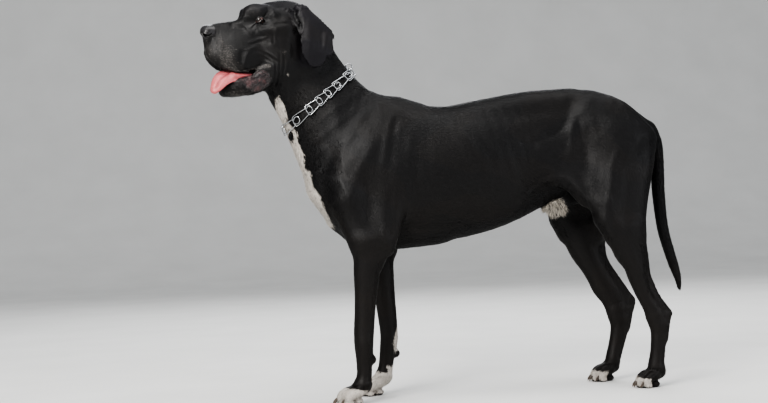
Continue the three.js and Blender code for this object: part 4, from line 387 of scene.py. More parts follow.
class Field:
    """The blended distance of a list of solids, worked out block by block on several threads."""

    def __init__(self, prims):
        self.prims = prims
        self.seg = [(i, s) for i, p in enumerate(prims) for s in p.segs]
        self.lo = np.array([s.lo - prims[i].k for i, s in self.seg])
        self.hi = np.array([s.hi + prims[i].k for i, s in self.seg])

    def chunk(self, P, reach):
        lo, hi = P.min(0), P.max(0)
        use = np.nonzero(((self.lo - reach <= hi) & (self.hi + reach >= lo)).all(1))[0]
        d = np.full(len(P), 1e3, f32)
        x, y, z = (np.ascontiguousarray(P[:, i], f32) for i in range(3))
        at = 0
        while at < len(use):
            i = self.seg[use[at]][0]
            p, e = self.prims[i], None
            while at < len(use) and self.seg[use[at]][0] == i:
                s = self.seg[use[at]][1]
                at += 1
                A, T, W, U = s.A.astype(f32), s.T.astype(f32), s.W.astype(f32), s.V.astype(f32)
                qx, qy, qz = x - A[0], y - A[1], z - A[2]
                t = qx * T[0] + qy * T[1] + qz * T[2]
                if s.L > 0:
                    h = np.clip(t / f32(s.L), 0, 1)
                    rw = f32(s.ra[0]) + f32(s.rb[0] - s.ra[0]) * h
                    rv = f32(s.ra[1]) + f32(s.rb[1] - s.ra[1]) * h
                    rt = f32(s.ra[2]) + f32(s.rb[2] - s.ra[2]) * h
                    tt = t - h * f32(s.L)
                else:
                    rw, rv, rt = (f32(v) for v in s.ra)
                    tt = t
                w = qx * W[0] + qy * W[1] + qz * W[2]
                v = qx * U[0] + qy * U[1] + qz * U[2]
                if s.egg:
                    rw = rw * (1 + f32(s.egg) * np.clip(v / rv, -1, 1))
                a, b, c = w / rw, v / rv, tt / rt
                k0 = np.sqrt(a * a + b * b + c * c) + f32(1e-6)
                a, b, c = a / rw, b / rv, c / rt
                k1 = np.sqrt(a * a + b * b + c * c) + f32(1e-6)
                m = k0 * (k0 - 1) / k1
                e = m if e is None else np.minimum(e, m)
            k = f32(p.k)
            if p.op == "add":
                h = np.maximum(k - np.abs(d - e), 0) / k
                d = np.minimum(d, e) - h * h * k * f32(0.25)
            else:
                e = -e
                h = np.maximum(k - np.abs(d - e), 0) / k
                d = np.maximum(d, e) + h * h * k * f32(0.25)
        return d

    def __call__(self, P, reach=14.0, size=72.0):
        P = np.asarray(P, float)
        if not len(P):
            return np.zeros(0, f32)
        key = np.floor(P / size).astype(np.int64)
        key -= key.min(0)
        m = key.max(0) + 1
        code = (key[:, 0] * m[1] + key[:, 1]) * m[2] + key[:, 2]
        order = np.argsort(code, kind="stable")
        cuts = np.nonzero(np.diff(code[order]))[0] + 1
        groups = np.split(order, cuts)
        out = np.empty(len(P), f32)

        def run(g):
            out[g] = self.chunk(P[g], reach)

        with ThreadPoolExecutor(4) as pool:
            list(pool.map(run, groups))
        return out


skin_raw = Field(SKIN)
ear_field = Field(ear_prims)
head_field = Field([p for p in head_prims if p.op == "add"])
mouth_field = Field([Prim("mouth", "add", p.k, p.segs) for p in head_prims if p.name == "mouth"])
tongue_field = Field(from_table(TONGUE))


def smooth(e0, e1, x):
    t = np.clip((x - e0) / (e1 - e0), 0, 1)
    return t * t * (3 - 2 * t)


def gradient(fn, P, e=0.6):
    """Value and gradient from four points round P."""
    k = np.array([[1, -1, -1], [-1, -1, 1], [-1, 1, -1], [1, 1, 1]], float)
    n = len(P)
    d = fn(np.concatenate([P + e * q for q in k])).reshape(4, n)
    return d.mean(0), (k.T @ d).T / (4 * e)


def depth_at(P):
    """How far the skin lies under the tips of the coat."""
    h = to_head(P)
    isbody = smooth(-150, -210, h[:, 0])
    d = 1.1 + 1.1 * isbody
    low = smooth(240, 60, P[:, 2])
    return d + (1.0 - d) * low


def skin_fn(P):
    return skin_raw(P) + depth_at(P)


def settle(fn, P, it=2, most=6.0):
    P = P.copy()
    for _ in range(it):
        d, g = gradient(fn, P)
        P -= g * (np.clip(d, -most, most) / np.maximum((g * g).sum(1), 0.08))[:, None]
    return P


# ---------------------------------------------------------------- surface of a field
def surface_nets(fn, lo, hi, h, coarse=4):
    lo, hi = np.asarray(lo, float), np.asarray(hi, float)
    nc = np.ceil((hi - lo) / (h * coarse)).astype(int)
    n = nc * coarse + 1
    ax = [lo[i] + np.arange(nc[i] + 1) * h * coarse for i in range(3)]
    G = np.stack(np.meshgrid(*ax, indexing="ij"), -1)
    r = h * coarse * 1.05
    D = fn(G.reshape(-1, 3), reach=r + 4, size=110.0).reshape(G.shape[:3])
    c = [D[i:nc[0] + i, j:nc[1] + j, k:nc[2] + k] for i in (0, 1) for j in (0, 1) for k in (0, 1)]
    mn, mx = np.minimum.reduce(c), np.maximum.reduce(c)
    near = (mn < r) & (mx > -r)
    big = np.where(near, 0, np.sign(mn)) * 100
    F = np.empty(n, f32)
    F[:-1, :-1, :-1] = np.repeat(np.repeat(np.repeat(big, coarse, 0), coarse, 1), coarse, 2)
    F[-1] = 100
    F[:, -1] = 100
    F[:, :, -1] = 100
    act = np.zeros(n, bool)
    for i, j, k in np.argwhere(near):
        act[i * coarse:i * coarse + coarse + 1, j * coarse:j * coarse + coarse + 1, k * coarse:k * coarse + coarse + 1] = True
    F[act] = fn(lo + np.argwhere(act) * h, reach=8.0)
    S = F < 0
    cs = [S[i:n[0] - 1 + i, j:n[1] - 1 + j, k:n[2] - 1 + k] for i in (0, 1) for j in (0, 1) for k in (0, 1)]
    cell = np.logical_or.reduce(cs) & ~np.logical_and.reduce(cs)
    ci = np.argwhere(cell)
    cid = np.full(cell.shape, -1, np.int64)
    cid[cell] = np.arange(len(ci))
    acc, cnt = np.zeros((len(ci), 3)), np.zeros(len(ci))
    off = np.array([[i, j, k] for i in (0, 1) for j in (0, 1) for k in (0, 1)])
    vals = np.stack([F[ci[:, 0] + o[0], ci[:, 1] + o[1], ci[:, 2] + o[2]] for o in off], 1).astype(float)
    for a in range(8):
        for b in range(a + 1, 8):
            if np.abs(off[a] - off[b]).sum() != 1:
                continue
            va, vb = vals[:, a], vals[:, b]
            x = (va < 0) != (vb < 0)
            t = va[x] / (va[x] - vb[x])
            acc[x] += off[a] + (off[b] - off[a]) * t[:, None]
            cnt[x] += 1
    verts = lo + (ci + acc / cnt[:, None]) * h
    quads = []
    for axis in range(3):
        sl0, sl1 = [slice(None)] * 3, [slice(None)] * 3
        sl0[axis], sl1[axis] = slice(0, -1), slice(1, None)
        a, b = S[tuple(sl0)], S[tuple(sl1)]
        e = np.argwhere(a != b)
        u, v = [(1, 2), (2, 0), (0, 1)][axis]
        e = e[(e[:, u] > 0) & (e[:, v] > 0) & (e[:, u] < n[u] - 1) & (e[:, v] < n[v] - 1)]
        flip = a[tuple(e.T)]

        def at(du, dv):
            q = e.copy()
            q[:, u] += du
            q[:, v] += dv
            return cid[tuple(q.T)]

        q = np.stack([at(-1, -1), at(0, -1), at(0, 0), at(-1, 0)], 1)
        q[~flip] = q[~flip][:, ::-1]
        quads.append(q)
    return verts, np.concatenate(quads)


def refine(P, quads, others, mask):
    """Splits the masked quads in four; a neighbour that isn't split gets the new corner in its edge."""
    N = len(P)
    Q = quads[mask]

    def codes(a, b):
        return np.minimum(a, b).astype(np.int64) * N + np.maximum(a, b)

    ed = np.stack([codes(Q[:, i], Q[:, (i + 1) % 4]) for i in range(4)], 1)
    uniq, inv = np.unique(ed.reshape(-1), return_inverse=True)
    inv = inv.reshape(-1, 4)
    mids = (P[uniq // N] + P[uniq % N]) / 2
    cen = P[Q].mean(1)
    mi = N + inv
    ce = N + len(uniq) + np.arange(len(Q))
    new = np.concatenate([P, mids, cen])
    kids = np.concatenate([np.stack([Q[:, i], mi[:, i], ce, mi[:, (i + 3) % 4]], 1) for i in range(4)])
    rest = quads[~mask]
    hit = np.zeros(rest.shape, bool)
    idx = np.zeros(rest.shape, np.int64)
    for i in range(4):
        k = codes(rest[:, i], rest[:, (i + 1) % 4])
        j = np.minimum(np.searchsorted(uniq, k), len(uniq) - 1)
        hit[:, i] = uniq[j] == k
        idx[:, i] = N + j
    touched = hit.any(1)
    grown = []
    for q, h, m in zip(rest[touched], hit[touched], idx[touched]):
        r = []
        for i in range(4):
            r.append(int(q[i]))
            if h[i]:
                r.append(int(m[i]))
        grown.append(r)
    if others:
        look = {}
        for poly in others:
            for i in range(len(poly)):
                a, b = poly[i], poly[(i + 1) % len(poly)]
                look[min(a, b) * N + max(a, b)] = -1
        keys = np.array(sorted(look), np.int64)
        j = np.minimum(np.searchsorted(uniq, keys), len(uniq) - 1)
        for k, jj in zip(keys, j):
            if uniq[jj] == k:
                look[int(k)] = int(N + jj)
        out = []
        for poly in others:
            r = []
            for i in range(len(poly)):
                a, b = poly[i], poly[(i + 1) % len(poly)]
                r.append(a)
                m = look[min(a, b) * N + max(a, b)]
                if m >= 0:
                    r.append(m)
            out.append(r)
        grown = out + grown
    return new, np.concatenate([rest[~touched], kids]), grown


def edges_of(quads, others):
    e = [quads[:, [i, (i + 1) % 4]] for i in range(4)]
    if others:
        e.append(np.array([(p[i], p[(i + 1) % len(p)]) for p in others for i in range(len(p))]))
    return np.concatenate(e)


def relax(P, E, by=0.5, only=None):
    s = np.zeros_like(P)
    c = np.zeros(len(P))
    for a, b in ((0, 1), (1, 0)):
        for i in range(3):
            s[:, i] += np.bincount(E[:, a], P[E[:, b], i], len(P))
        c += np.bincount(E[:, a], minlength=len(P))
    t = s / np.maximum(c, 1)[:, None]
    out = P + (t - P) * by
    if only is not None:
        out[~only] = P[~only]
    return out


def normals_of(P, quads, others=()):
    a, b, c, d = (P[quads[:, i]] for i in range(4))
    nn = np.cross(c - a, d - b)
    N = np.zeros_like(P)
    for i in range(4):
        for j in range(3):
            N[:, j] += np.bincount(quads[:, i], nn[:, j], len(P))
    for p in others:
        q = P[p]
        w = np.zeros(3)
        for i in range(1, len(p) - 1):
            w += np.cross(q[i] - q[0], q[i + 1] - q[0])
        N[p] += w
    return N / (np.linalg.norm(N, axis=1, keepdims=True) + 1e-12)


def lap(name):
    print(f"[{time.time() - T0:6.1f} s] {name}", flush=True)


# ---------------------------------------------------------------- the skin's mesh
H0 = 7.15
P, quads = surface_nets(skin_raw, [-540, -185, -12], [905, 185, 1165], H0)
others = []
lap(f"base {len(quads)} quads")


def centre(quads):
    return P[quads].mean(1)


C = centre(quads)
h = to_head(C)
m1 = ((h[:, 0] > -190) & (h[:, 2] > -240) & ((h[:, 2] > -165) | (h[:, 0] > -40)) & ((h[:, 0] > -75) | (np.abs(h[:, 1]) > 74) | (h[:, 2] > 0) | (h[:, 0] > -110) & (h[:, 2] > -60))) | (C[:, 2] < 66)
P, quads, others = refine(P, quads, others, m1)
C = centre(quads)
h = to_head(C)
mo = mouth_field(C, reach=20)
eyed = np.minimum(np.linalg.norm(C - EYE_C[1], axis=1), np.linalg.norm(C - EYE_C[-1], axis=1))
m2 = ((h[:, 0] > 112) & (h[:, 2] > -58)) | (eyed < 33) | ((np.abs(mo) < 9) & (h[:, 0] > -30)) | ((h[:, 0] > 60) & (h[:, 2] < -105) & (h[:, 2] > -150))
size = np.linalg.norm(P[quads[:, 0]] - P[quads[:, 2]], axis=1)
m2 &= size < H0 * 1.1
P, quads, others = refine(P, quads, others, m2)
P = settle(skin_fn, P, 2)
E = edges_of(quads, others)
P = relax(P, E, 0.6)
P = settle(skin_fn, P, 1)
C = centre(quads)
eyed = np.minimum(np.linalg.norm(C - EYE_C[1], axis=1), np.linalg.norm(C - EYE_C[-1], axis=1))
h = to_head(C)
nostril = np.minimum.reduce([np.linalg.norm(h - V(148, 17 * s, -20), axis=1) for s in (1, -1)])
m3 = (eyed < 22) | (nostril < 15)
P, quads, others = refine(P, quads, others, m3)
E = edges_of(quads, others)
fresh = np.zeros(len(P), bool)
fresh[quads[np.isin(np.arange(len(quads)), np.nonzero(np.linalg.norm(P[quads[:, 0]] - P[quads[:, 2]], axis=1) < H0 * 0.4)[0])].ravel()] = True
P = relax(P, E, 0.5, fresh)
P = settle(skin_fn, P, 1)
lap(f"refined {len(quads)} quads {len(others)} others {len(P)} verts")

N = normals_of(P, quads, others)
hp = to_head(P)
ear_d = ear_field(P, reach=30)
hd_d = head_field(P, reach=30)
is_ear = smooth(2.0, -1.0, ear_d - hd_d) * (ear_d < 6) * (hp[:, 2] < 12)
# ears are thinner than their solids
P = P - N * (1.3 * is_ear)[:, None]


# ---------------------------------------------------------------- relief
def trace_side(fn, uv, side, inhead):
    """Points of the surface straight in from the side."""
    uv = np.asarray(uv, float)
    t = np.full(len(uv), 150.0 if inhead else 190.0)
    side = np.broadcast_to(np.asarray(side, float), len(uv))
    for _ in range(26):
        Q = E0 + uv[:, :1] * HF + (t * side)[:, None] * HL + uv[:, 1:] * HU if inhead else np.stack([uv[:, 0], -t * side, uv[:, 1]], 1)
        d = fn(Q, reach=40.0)
        t = t - np.clip(d, -3, 30) * 0.85
    return Q, np.abs(d) < 1.5


def poly_distance(X, line):
    """Distance to a polyline and the share of its length at the nearest place."""
    best, at = np.full(len(X), 1e9), np.zeros(len(X))
    L = np.concatenate([[0], np.cumsum(np.linalg.norm(np.diff(line, axis=0), axis=1))])
    for i in range(len(line) - 1):
        a, d = line[i], line[i + 1] - line[i]
        n = (d * d).sum()
        t = np.clip((X - a) @ d / max(n, 1e-9), 0, 1)
        r = np.linalg.norm(X - a - t[:, None] * d, axis=1)
        m = r < best
        best[m] = r[m]
        at[m] = ((L[i] + t * (L[i + 1] - L[i])) / L[-1])[m]
    return best, at


def stroke(P, disp, line, width, amp, even=False):
    lo, hi = line.min(0) - 3 * width, line.max(0) + 3 * width
    k = np.nonzero(((P > lo) & (P < hi)).all(1))[0]
    if not len(k):
        return
    r, t = poly_distance(P[k], line)
    ends = 1.0 if even else np.clip(np.minimum(t, 1 - t) / 0.22, 0, 1) ** 0.7 * 0.85 + 0.15
    disp[k] += amp * np.exp(-((r / width) ** 2)) * ends


disp = np.zeros(len(P))
FAR_X = {"thigh ridge", "thigh hollow", "thigh groove back", "stifle ridge", "gaskin groove", "gaskin vein", "thigh vein", "flank ridge back"}


def trace_many(lines, inhead):
    """All lines of one kind at once: [(points, side)] to the lines laid on the surface."""
    uv = np.concatenate([l for l, s in lines])
    side = np.concatenate([np.full(len(l), float(s)) for l, s in lines])
    Q, ok = trace_side(skin_raw, uv, side, inhead)
    out, at = [], 0
    for l, s in lines:
        q, o = Q[at:at + len(l)], ok[at:at + len(l)]
        out.append(q[o] if o.sum() > 2 else None)
        at += len(l)
    return out


jobs = [(row, side) for row in HEAD_STROKES for side in (1, -1)]
for ((name, width, amp, pts), side), line in zip(jobs, trace_many([(catmull(row[3], 6), side) for row, side in jobs], True)):
    if line is not None:
        stroke(P, disp, line, width * (1.15 if width < 4 else 1.0), amp * (1.25 if abs(amp) < 3 else 1.0))
jobs, lines = [(row, side) for row in BODY_STROKES for side in (1, -1)], []
for (name, width, amp, pts), side in jobs:
    q = np.array(catmull(pts, 5))
    if side < 0 and name.startswith(("elbow", "forearm", "triceps")):
        q = q + [38, -8]
    if side < 0 and name in FAR_X:
        q[:, 0] -= np.interp(q[:, 1], [430, 620], [66, 8])
    lines.append((q, side))
for ((name, width, amp, pts), side), line in zip(jobs, trace_many(lines, False)):
    if line is not None:
        stroke(P, disp, line, max(width, 5.0) if width > 3.3 else 4.0, amp * 0.85)


def line_on(points, it=4):
    return settle(lambda q: skin_raw(q), np.array(points, float), it, 12.0)


# furrow between the brows, the groove under the nose, the creases between the toes
MORE = []
for pts, w, a in (
    ([head(40, 0, 14), head(20, 0, 38), head(-4, 0, 48), head(-60, 0, 48)], 6, -2.0),
    ([head(163, 0, -30), head(157, 0, -60), head(146, 0, -92)], 2.2, -2.2),
    ([head(168, 0, -8), head(167, 0, -28)], 1.5, -1.3),
):
    MORE.append((catmull(pts, 5), w, a))
for cx, cy, zt, turn, front in FEET.values():
    a = math.radians(turn)
    f, l = V(-math.cos(a), math.sin(a), 0), V(math.sin(a), math.cos(a), 0)
    s = 1.0 if front else 0.9
    for b in (-19, 0, 19):
        b *= s
        MORE.append((catmull([V(cx, cy, 0) + f * x * s + l * (b * g) + V(0, 0, z) for x, g, z in ((2, 0.7, 56), (24, 0.85, 50), (48, 1, 40), (62 if b == 0 else 52, 1.05, 20))], 4), 3.0, -1.8))
laid, at = line_on(np.concatenate([m[0] for m in MORE])), 0
for pts, w, a in MORE:
    stroke(P, disp, laid[at:at + len(pts)], w, a)
    at += len(pts)
disp = 4.6 * np.tanh(disp / 4.6)
P = P + N * disp[:, None]
lap("relief")

# ---------------------------------------------------------------- lids: the skin round each eye is laid over the eyeball
EYE_R = 12.1
lid = np.zeros(len(P))
haw = np.zeros(len(P))
EYE_AXES = {}
for sg in (1, -1):
    out = unit(HL * sg * 0.86 + HF * 0.50 + HU * 0.06)
    along = unit(HF * 0.80 - HL * sg * 0.0 - HU * 0.26 - out * np.dot(HF * 0.80 - HU * 0.26, out))
    up = np.cross(out, along)
    up = up if up[2] > 0 else -up
    EYE_AXES[sg] = (out, along, up)
    q = P - EYE_C[sg]
    r = np.linalg.norm(q, axis=1)
    k = np.nonzero((r < 44) & (q @ out > -r * 0.15))[0]
    q, r0 = q[k], r[k]
    w = q / r0[:, None]
    ang = np.arctan2(w @ along, np.maximum(w @ out, 1e-3))
    lat = np.arcsin(np.clip(w @ up, -1, 1))
    a0, a1 = math.radians(60), math.radians(64)
    u = np.clip(np.where(ang > 0, ang / a0, -ang / a1), 0, 1.4)
    top = math.radians(19) * np.maximum(1 - u ** 2.1, -0.6) - math.radians(2) * u
    bot = -math.radians(24.5) * np.maximum(1 - u ** 2.3, -0.6) - math.radians(2) * u
    s = np.minimum(top - lat, lat - bot) * 13.5
    s = np.where(u > 1, -np.maximum(-s, (u - 1) * 15), s)
    outd = np.maximum(-s, 0)
    lower = lat < (top + bot) / 2
    rim = 14.3 + 0.7 * np.exp(-((outd - 1.0) / 1.1) ** 2) + np.where(lower, 0.5, 0.0)
    crease = -1.0 * np.exp(-((outd - 5.0) / 1.3) ** 2) + 0.7 * np.exp(-((outd - 7.6) / 1.6) ** 2)
    wt = 1 - smooth(3.0, 13.0, outd)
    target = rim + crease + np.maximum(outd - 6, 0) * 0.55
    R = r0 + (target - r0) * wt
    # inside the rims the skin drops behind the eyeball; along the lower lid and in the corner a strip of haw stands in front of it
    strip = np.where(lower, 2.2, 0.9) + 2.2 * smooth(0.62, 1.0, u)
    inside = 12.75 - smooth(strip, strip + 0.9, s) * 4.5
    R = np.where(s > 0, R + (inside - R) * smooth(0.0, 0.7, s), R)
    P[k] = EYE_C[sg] + w * R[:, None]
    lid[k] = np.maximum(lid[k], np.exp(-((s + 0.9) / 1.5) ** 2))
    haw[k] = np.maximum(haw[k], smooth(0.1, 0.6, s))

# nostrils: cut in, with painted shade inside
dark = np.zeros(len(P))
for sg in (1, -1):
    slit = line_on(catmull([head(161, 9 * sg, -15), head(156, 15 * sg, -19), head(148, 19 * sg, -24), head(139, 21 * sg, -22)], 5))
    k = np.nonzero(((P > slit.min(0) - 12) & (P < slit.max(0) + 12)).all(1))[0]
    r, t = poly_distance(P[k], slit)
    wdt = np.interp(t, [0, 0.35, 0.7, 1], [4.4, 4.8, 2.6, 1.7])
    deep = np.interp(t, [0, 0.4, 1], [8.0, 8.0, 3.0])
    f = 1 - smooth(0.55, 1.15, r / wdt)
    inward = unit(-HF * 0.75 - HL * sg * 0.55 + HU * 0.2)
    P[k] += inward * (f * deep)[:, None] + N[k] * (0.8 * np.exp(-((r / wdt - 1.35) / 0.35) ** 2))[:, None]
    dark[k] = np.maximum(dark[k], smooth(1.1, 0.7, r / wdt))

P[:, 2] = np.maximum(P[:, 2], 2.4)
N = normals_of(P, quads, others)
hp = to_head(P)
lap("lids and nose")


# ---------------------------------------------------------------- markings, the same for skin and coat
def in_poly(x, y, pts):
    """Signed distance to a closed outline, negative inside."""
    pts = np.asarray(pts, float)
    d = np.full(len(x), 1e9)
    inside = np.zeros(len(x), bool)
    for i in range(len(pts)):
        (x1, y1), (x2, y2) = pts[i], pts[(i + 1) % len(pts)]
        dx, dy = x2 - x1, y2 - y1
        t = np.clip(((x - x1) * dx + (y - y1) * dy) / (dx * dx + dy * dy + 1e-9), 0, 1)
        d = np.minimum(d, np.hypot(x - x1 - t * dx, y - y1 - t * dy))
        c = (y1 > y) != (y2 > y)
        xi = x1 + (y - y1) * dx / (dy if abs(dy) > 1e-9 else 1e-9)
        inside ^= c & (x < xi)
    return np.where(inside, -d, d)


EDGE = sorted([(z, x) for x, z in [[-279, 869], [-263, 846], [-258, 818], [-262, 796], [-246, 778], [-238, 761], [-239, 745], [-224, 708], [-223, 688], [-223, 665], [-206, 659], [-199, 614], [-181, 588], [-173, 557], [-160, 528], [-150, 504]]])


def wob(P, s, seed=0.0):
    """Slow smooth wandering, used to make edges of markings uneven."""
    x, y, z = P[:, 0] / s + seed, P[:, 1] / s + seed * 1.7, P[:, 2] / s - seed
    return (np.sin(x * 1.7 + 1.3 * np.sin(z * 1.1 + y)) + np.sin(z * 2.3 + 1.7 * np.sin(x * 0.9 - y * 1.3)) + np.sin(y * 2.9 + 1.1 * np.sin(z * 1.9 + x))) / 3


def white_at(P):
    """Distance in mm into the black: negative where the coat is white."""
    z = P[:, 2]
    xb = np.interp(z, [e[0] for e in EDGE], [e[1] for e in EDGE])
    far = P[:, 1] > 0
    xb = xb - 0.13 * np.abs(P[:, 1]) - 9 * smooth(780, 820, z)
    d = (P[:, 0] - xb + np.where(far, 6 * wob(P, 26, 3.0), 0)) * 0.75
    d = np.maximum(d, np.maximum(496 - z, (z - 868 - 5 * wob(P, 12, 1.0))) * 0.9)
    d = np.maximum(d, -300 - P[:, 0])
    d = np.maximum(d, (np.abs(P[:, 1]) - 78))
    bit = np.linalg.norm((P - V(-262, -22, 758)) / V(1, 1.6, 1.7), axis=1) - 10
    d = np.maximum(d, -bit)
    # toes
    for key, top, reach in (("fore_left", 45, -16), ("fore_right", 70, -60), ("hind_left", 26, 26), ("hind_right", 30, 22)):
        cx, cy, zt, turn, front = FEET[key]
        near = (np.abs(P[:, 1] - cy) < 48) & (np.abs(P[:, 0] - cx) < 120)
        fwd = cx - P[:, 0]
        s = np.maximum(z - top - 0.12 * fwd + 5 * wob(P, 9, cx), (reach - fwd) * 0.9 + 3 * wob(P, 7, cy))
        d = np.where(near, np.minimum(d, s), d)
    far_leg = (P[:, 1] > 30) & (P[:, 1] < 130) & (z < 260) & (P[:, 0] < 80)
    inner = P[:, 1] - 92
    streak = in_poly(P[:, 0], z, [[58, 232], [44, 214], [30, 190], [20, 160], [22, 128], [34, 126], [40, 150], [60, 200], [66, 230]])
    spot = np.minimum(np.hypot(P[:, 0] - 12, (z - 69) * 0.8) - 7, in_poly(P[:, 0], z, [[-2, 88], [34, 88], [32, 60], [28, 20], [2, 20], [4, 50]]) + 3 * wob(P, 8, 3.0))
    spot = np.maximum(spot, 5.5 - np.hypot(P[:, 0] - 17, z - 64))
    d = np.where(far_leg, np.minimum(d, np.maximum(np.minimum(streak, spot), inner)), d)
    near_leg = (P[:, 1] < -60) & (z < 200) & (z > 110) & (P[:, 0] < 20)
    d = np.where(near_leg, np.minimum(d, np.hypot((P[:, 0] + 43) * 1.5, (z - 150) * 0.32) - 5), d)
    sh = np.linalg.norm((P - V(494, 0, 532)) / V(1.25, 1.0, 1.0), axis=1) - 26
    d = np.minimum(d, np.where(np.abs(P[:, 1]) < 60, sh, 1e3))
    hh = to_head(P)
    d = np.minimum(d, np.linalg.norm((hh - V(-49, 66, -162)) / V(1, 3.0, 1.4), axis=1) - 2.3)
    return d


def grizzle_at(P):
    """Share of grey hairs, 0 to 1: muzzle, lips, chin, brows."""
    hh = to_head(P)
    a, b, c = hh[:, 0], np.abs(hh[:, 1]), hh[:, 2]
    g = smooth(10, -12, in_poly(a, c, POLY["grizzle"])) * 0.62 * smooth(4, 12, b)
    core = np.exp(-(((a - 108) / 15) ** 2 + ((c + 92) / 26) ** 2)) * 0.55
    line = smooth(3.5, -1.0, in_poly(a, c, POLY["lip line"])) * 0.75 * smooth(-5, 20, b) * np.where(a < 70, 1.0, 0.55)
    chin = np.exp(-(((a - 96) / 36) ** 2 + ((c + 200) / 14) ** 2)) * 0.55 * (b < 60)
    front = np.exp(-(((a - 156) / 14) ** 2 + ((c + 70) / 30) ** 2)) * 0.30
    mole = np.exp(-(((a + 48) / 7) ** 2 + ((c + 99) / 6) ** 2)) * 0.35
    brow = np.exp(-(((a - 16) / 10) ** 2 + ((c - 16) / 6) ** 2)) * 0.12
    g = g * (0.55 + 0.45 * wob(P, 5, 2.0)) + core * 0.8 + line + chin + front + mole + brow
    return np.clip(g * 1.35, 0, 0.92) * (a > -90) * (c < 30) * (P[:, 2] > 840)


def wet_flesh_at(P, mo=None):
    """Inside of the mouth and the turned-out lower lip, 0 to 1."""
    hh = to_head(P)
    a, b, c = hh[:, 0], np.abs(hh[:, 1]), hh[:, 2]
    if mo is None:
        mo = mouth_field(P, reach=20)
    m = smooth(2.6, 0.4, mo) * (a > -30)
    m = m * smooth(-118, -126, c + 0.0 * a)
    lipo = smooth(2.5, -3.0, in_poly(a, c, POLY["mouth inside lip"])) * (b > 22)
    lip2 = smooth(2.0, -3.0, in_poly(a, c, [[100, -158], [76, -150], [70, -166], [80, -182], [100, -172]])) * (b > 12)
    return np.clip(np.maximum.reduce([m, lipo * 0.95 * (c < -132), lip2 * 0.8 * (c < -150)]), 0, 1) * (P[:, 2] > 840)


def nose_at(P):
    hh = to_head(P)
    a, b, c = hh[:, 0], np.abs(hh[:, 1]), hh[:, 2]
    line = np.interp(c, [-40, -32, -24, 0, 8, 14], [157, 148, 133, 129, 131, 136]) - 4 * smooth(10, 20, b) * (c > -28)
    return smooth(-1.2, 1.2, a - line) * smooth(-37, -34.5, c) + smooth(-1.0, 1.0, a - 157) * smooth(3.2, 1.8, b) * (c < -33) * (c > -52)


def pad_at(P, N):
    """Toe pads and the pads behind the wrists."""
    u = smooth(17, 11, P[:, 2]) * smooth(-0.1, -0.5, N[:, 2])
    for c in (V(-53, -96, 121), V(41, 86, 117)):
        u = np.maximum(u, smooth(11.5, 9.0, np.linalg.norm((P - c) / V(1, 0.9, 0.95), axis=1)))
    return u


BLACK = np.array([0.0072, 0.0066, 0.0070])
BLUE_SHEEN = np.array([0.0115, 0.0100, 0.0135])
BROWN_SHEEN_AND_TINT = np.array([0.0150, 0.0115, 0.0095])
GREY = np.array([0.15, 0.137, 0.127])
WHITE = np.array([0.62, 0.58, 0.53])


def base_colour(P):
    """The dark coat before its white and grey hairs, with painted bluish sheen on the ears and the top of the head, and
    a brown tone low on the body that is painted sheen plus random brown patches.
    """
    hh = to_head(P)
    col = np.tile(BLACK, (len(P), 1))
    # painted sheen: the ears and the top of the head are made lighter and bluish where the light falls on them
    hw = smooth(-60, -105, hh[:, 0]) * (P[:, 2] > 900) * (np.abs(hh[:, 1]) > 62)
    top = smooth(0, 40, hh[:, 2]) * (P[:, 0] < -180)
    blue_sheen = np.clip(hw * 0.8 + top * 0.6, 0, 1)[:, None]
    col = col * (1 - blue_sheen) + BLUE_SHEEN * blue_sheen
    # partly painted sheen: brown is mixed in lower on the body and legs, standing in for a brownish sheen; the wob term
    # adds brown patches at random
    low = (smooth(520, 200, P[:, 2]) * 0.5 + smooth(700, 480, P[:, 2]) * (np.abs(P[:, 1]) > 60) * 0.2 + 0.25 * (wob(P, 60, 5.0) > 0.2))[:, None]
    low = np.clip(low, 0, 1)
    return col * (1 - low) + BROWN_SHEEN_AND_TINT * low


# ---------------------------------------------------------------- materials
def new_mat(name):
    m = bpy.data.materials.new(name)
    m.use_nodes = True
    nt = m.node_tree
    for n in list(nt.nodes):
        nt.nodes.remove(n)
    out = nt.nodes.new("ShaderNodeOutputMaterial")
    bsdf = nt.nodes.new("ShaderNodeBsdfPrincipled")
    nt.links.new(bsdf.outputs[0], out.inputs[0])
    return m, nt, bsdf


def node(nt, kind, **kw):
    n = nt.nodes.new(kind)
    for k, v in kw.items():
        if k.startswith("in_"):
            n.inputs[k[3:].replace("_", " ")].default_value = v
        else:
            setattr(n, k, v)
    return n


def noise(nt, coord, scale, detail=3.0, rough=0.55, stretch=None):
    if stretch is not None:
        mp = node(nt, "ShaderNodeMapping")
        mp.inputs["Scale"].default_value = stretch
        nt.links.new(coord, mp.inputs["Vector"])
        coord = mp.outputs[0]
    n = node(nt, "ShaderNodeTexNoise")
    n.inputs["Scale"].default_value = scale
    n.inputs["Detail"].default_value = detail
    n.inputs["Roughness"].default_value = rough
    nt.links.new(coord, n.inputs["Vector"])
    return n


def ramp(nt, fac, stops):
    r = node(nt, "ShaderNodeValToRGB")
    el = r.color_ramp.elements
    while len(el) < len(stops):
        el.new(0.5)
    for e, (p, c) in zip(el, stops):
        e.position = p
        e.color = (*c, 1) if len(c) == 3 else c
    nt.links.new(fac, r.inputs[0])
    return r


def maprange(nt, v, a, b, c, d):
    m = node(nt, "ShaderNodeMapRange")
    for i, x in enumerate((a, b, c, d)):
        m.inputs[i + 1].default_value = x
    nt.links.new(v, m.inputs[0])
    return m


def mathn(nt, op, a, b):
    m = node(nt, "ShaderNodeMath", operation=op)
    for i, v in enumerate((a, b)):
        if isinstance(v, (int, float)):
            m.inputs[i].default_value = v
        else:
            nt.links.new(v, m.inputs[i])
    return m.outputs[0]


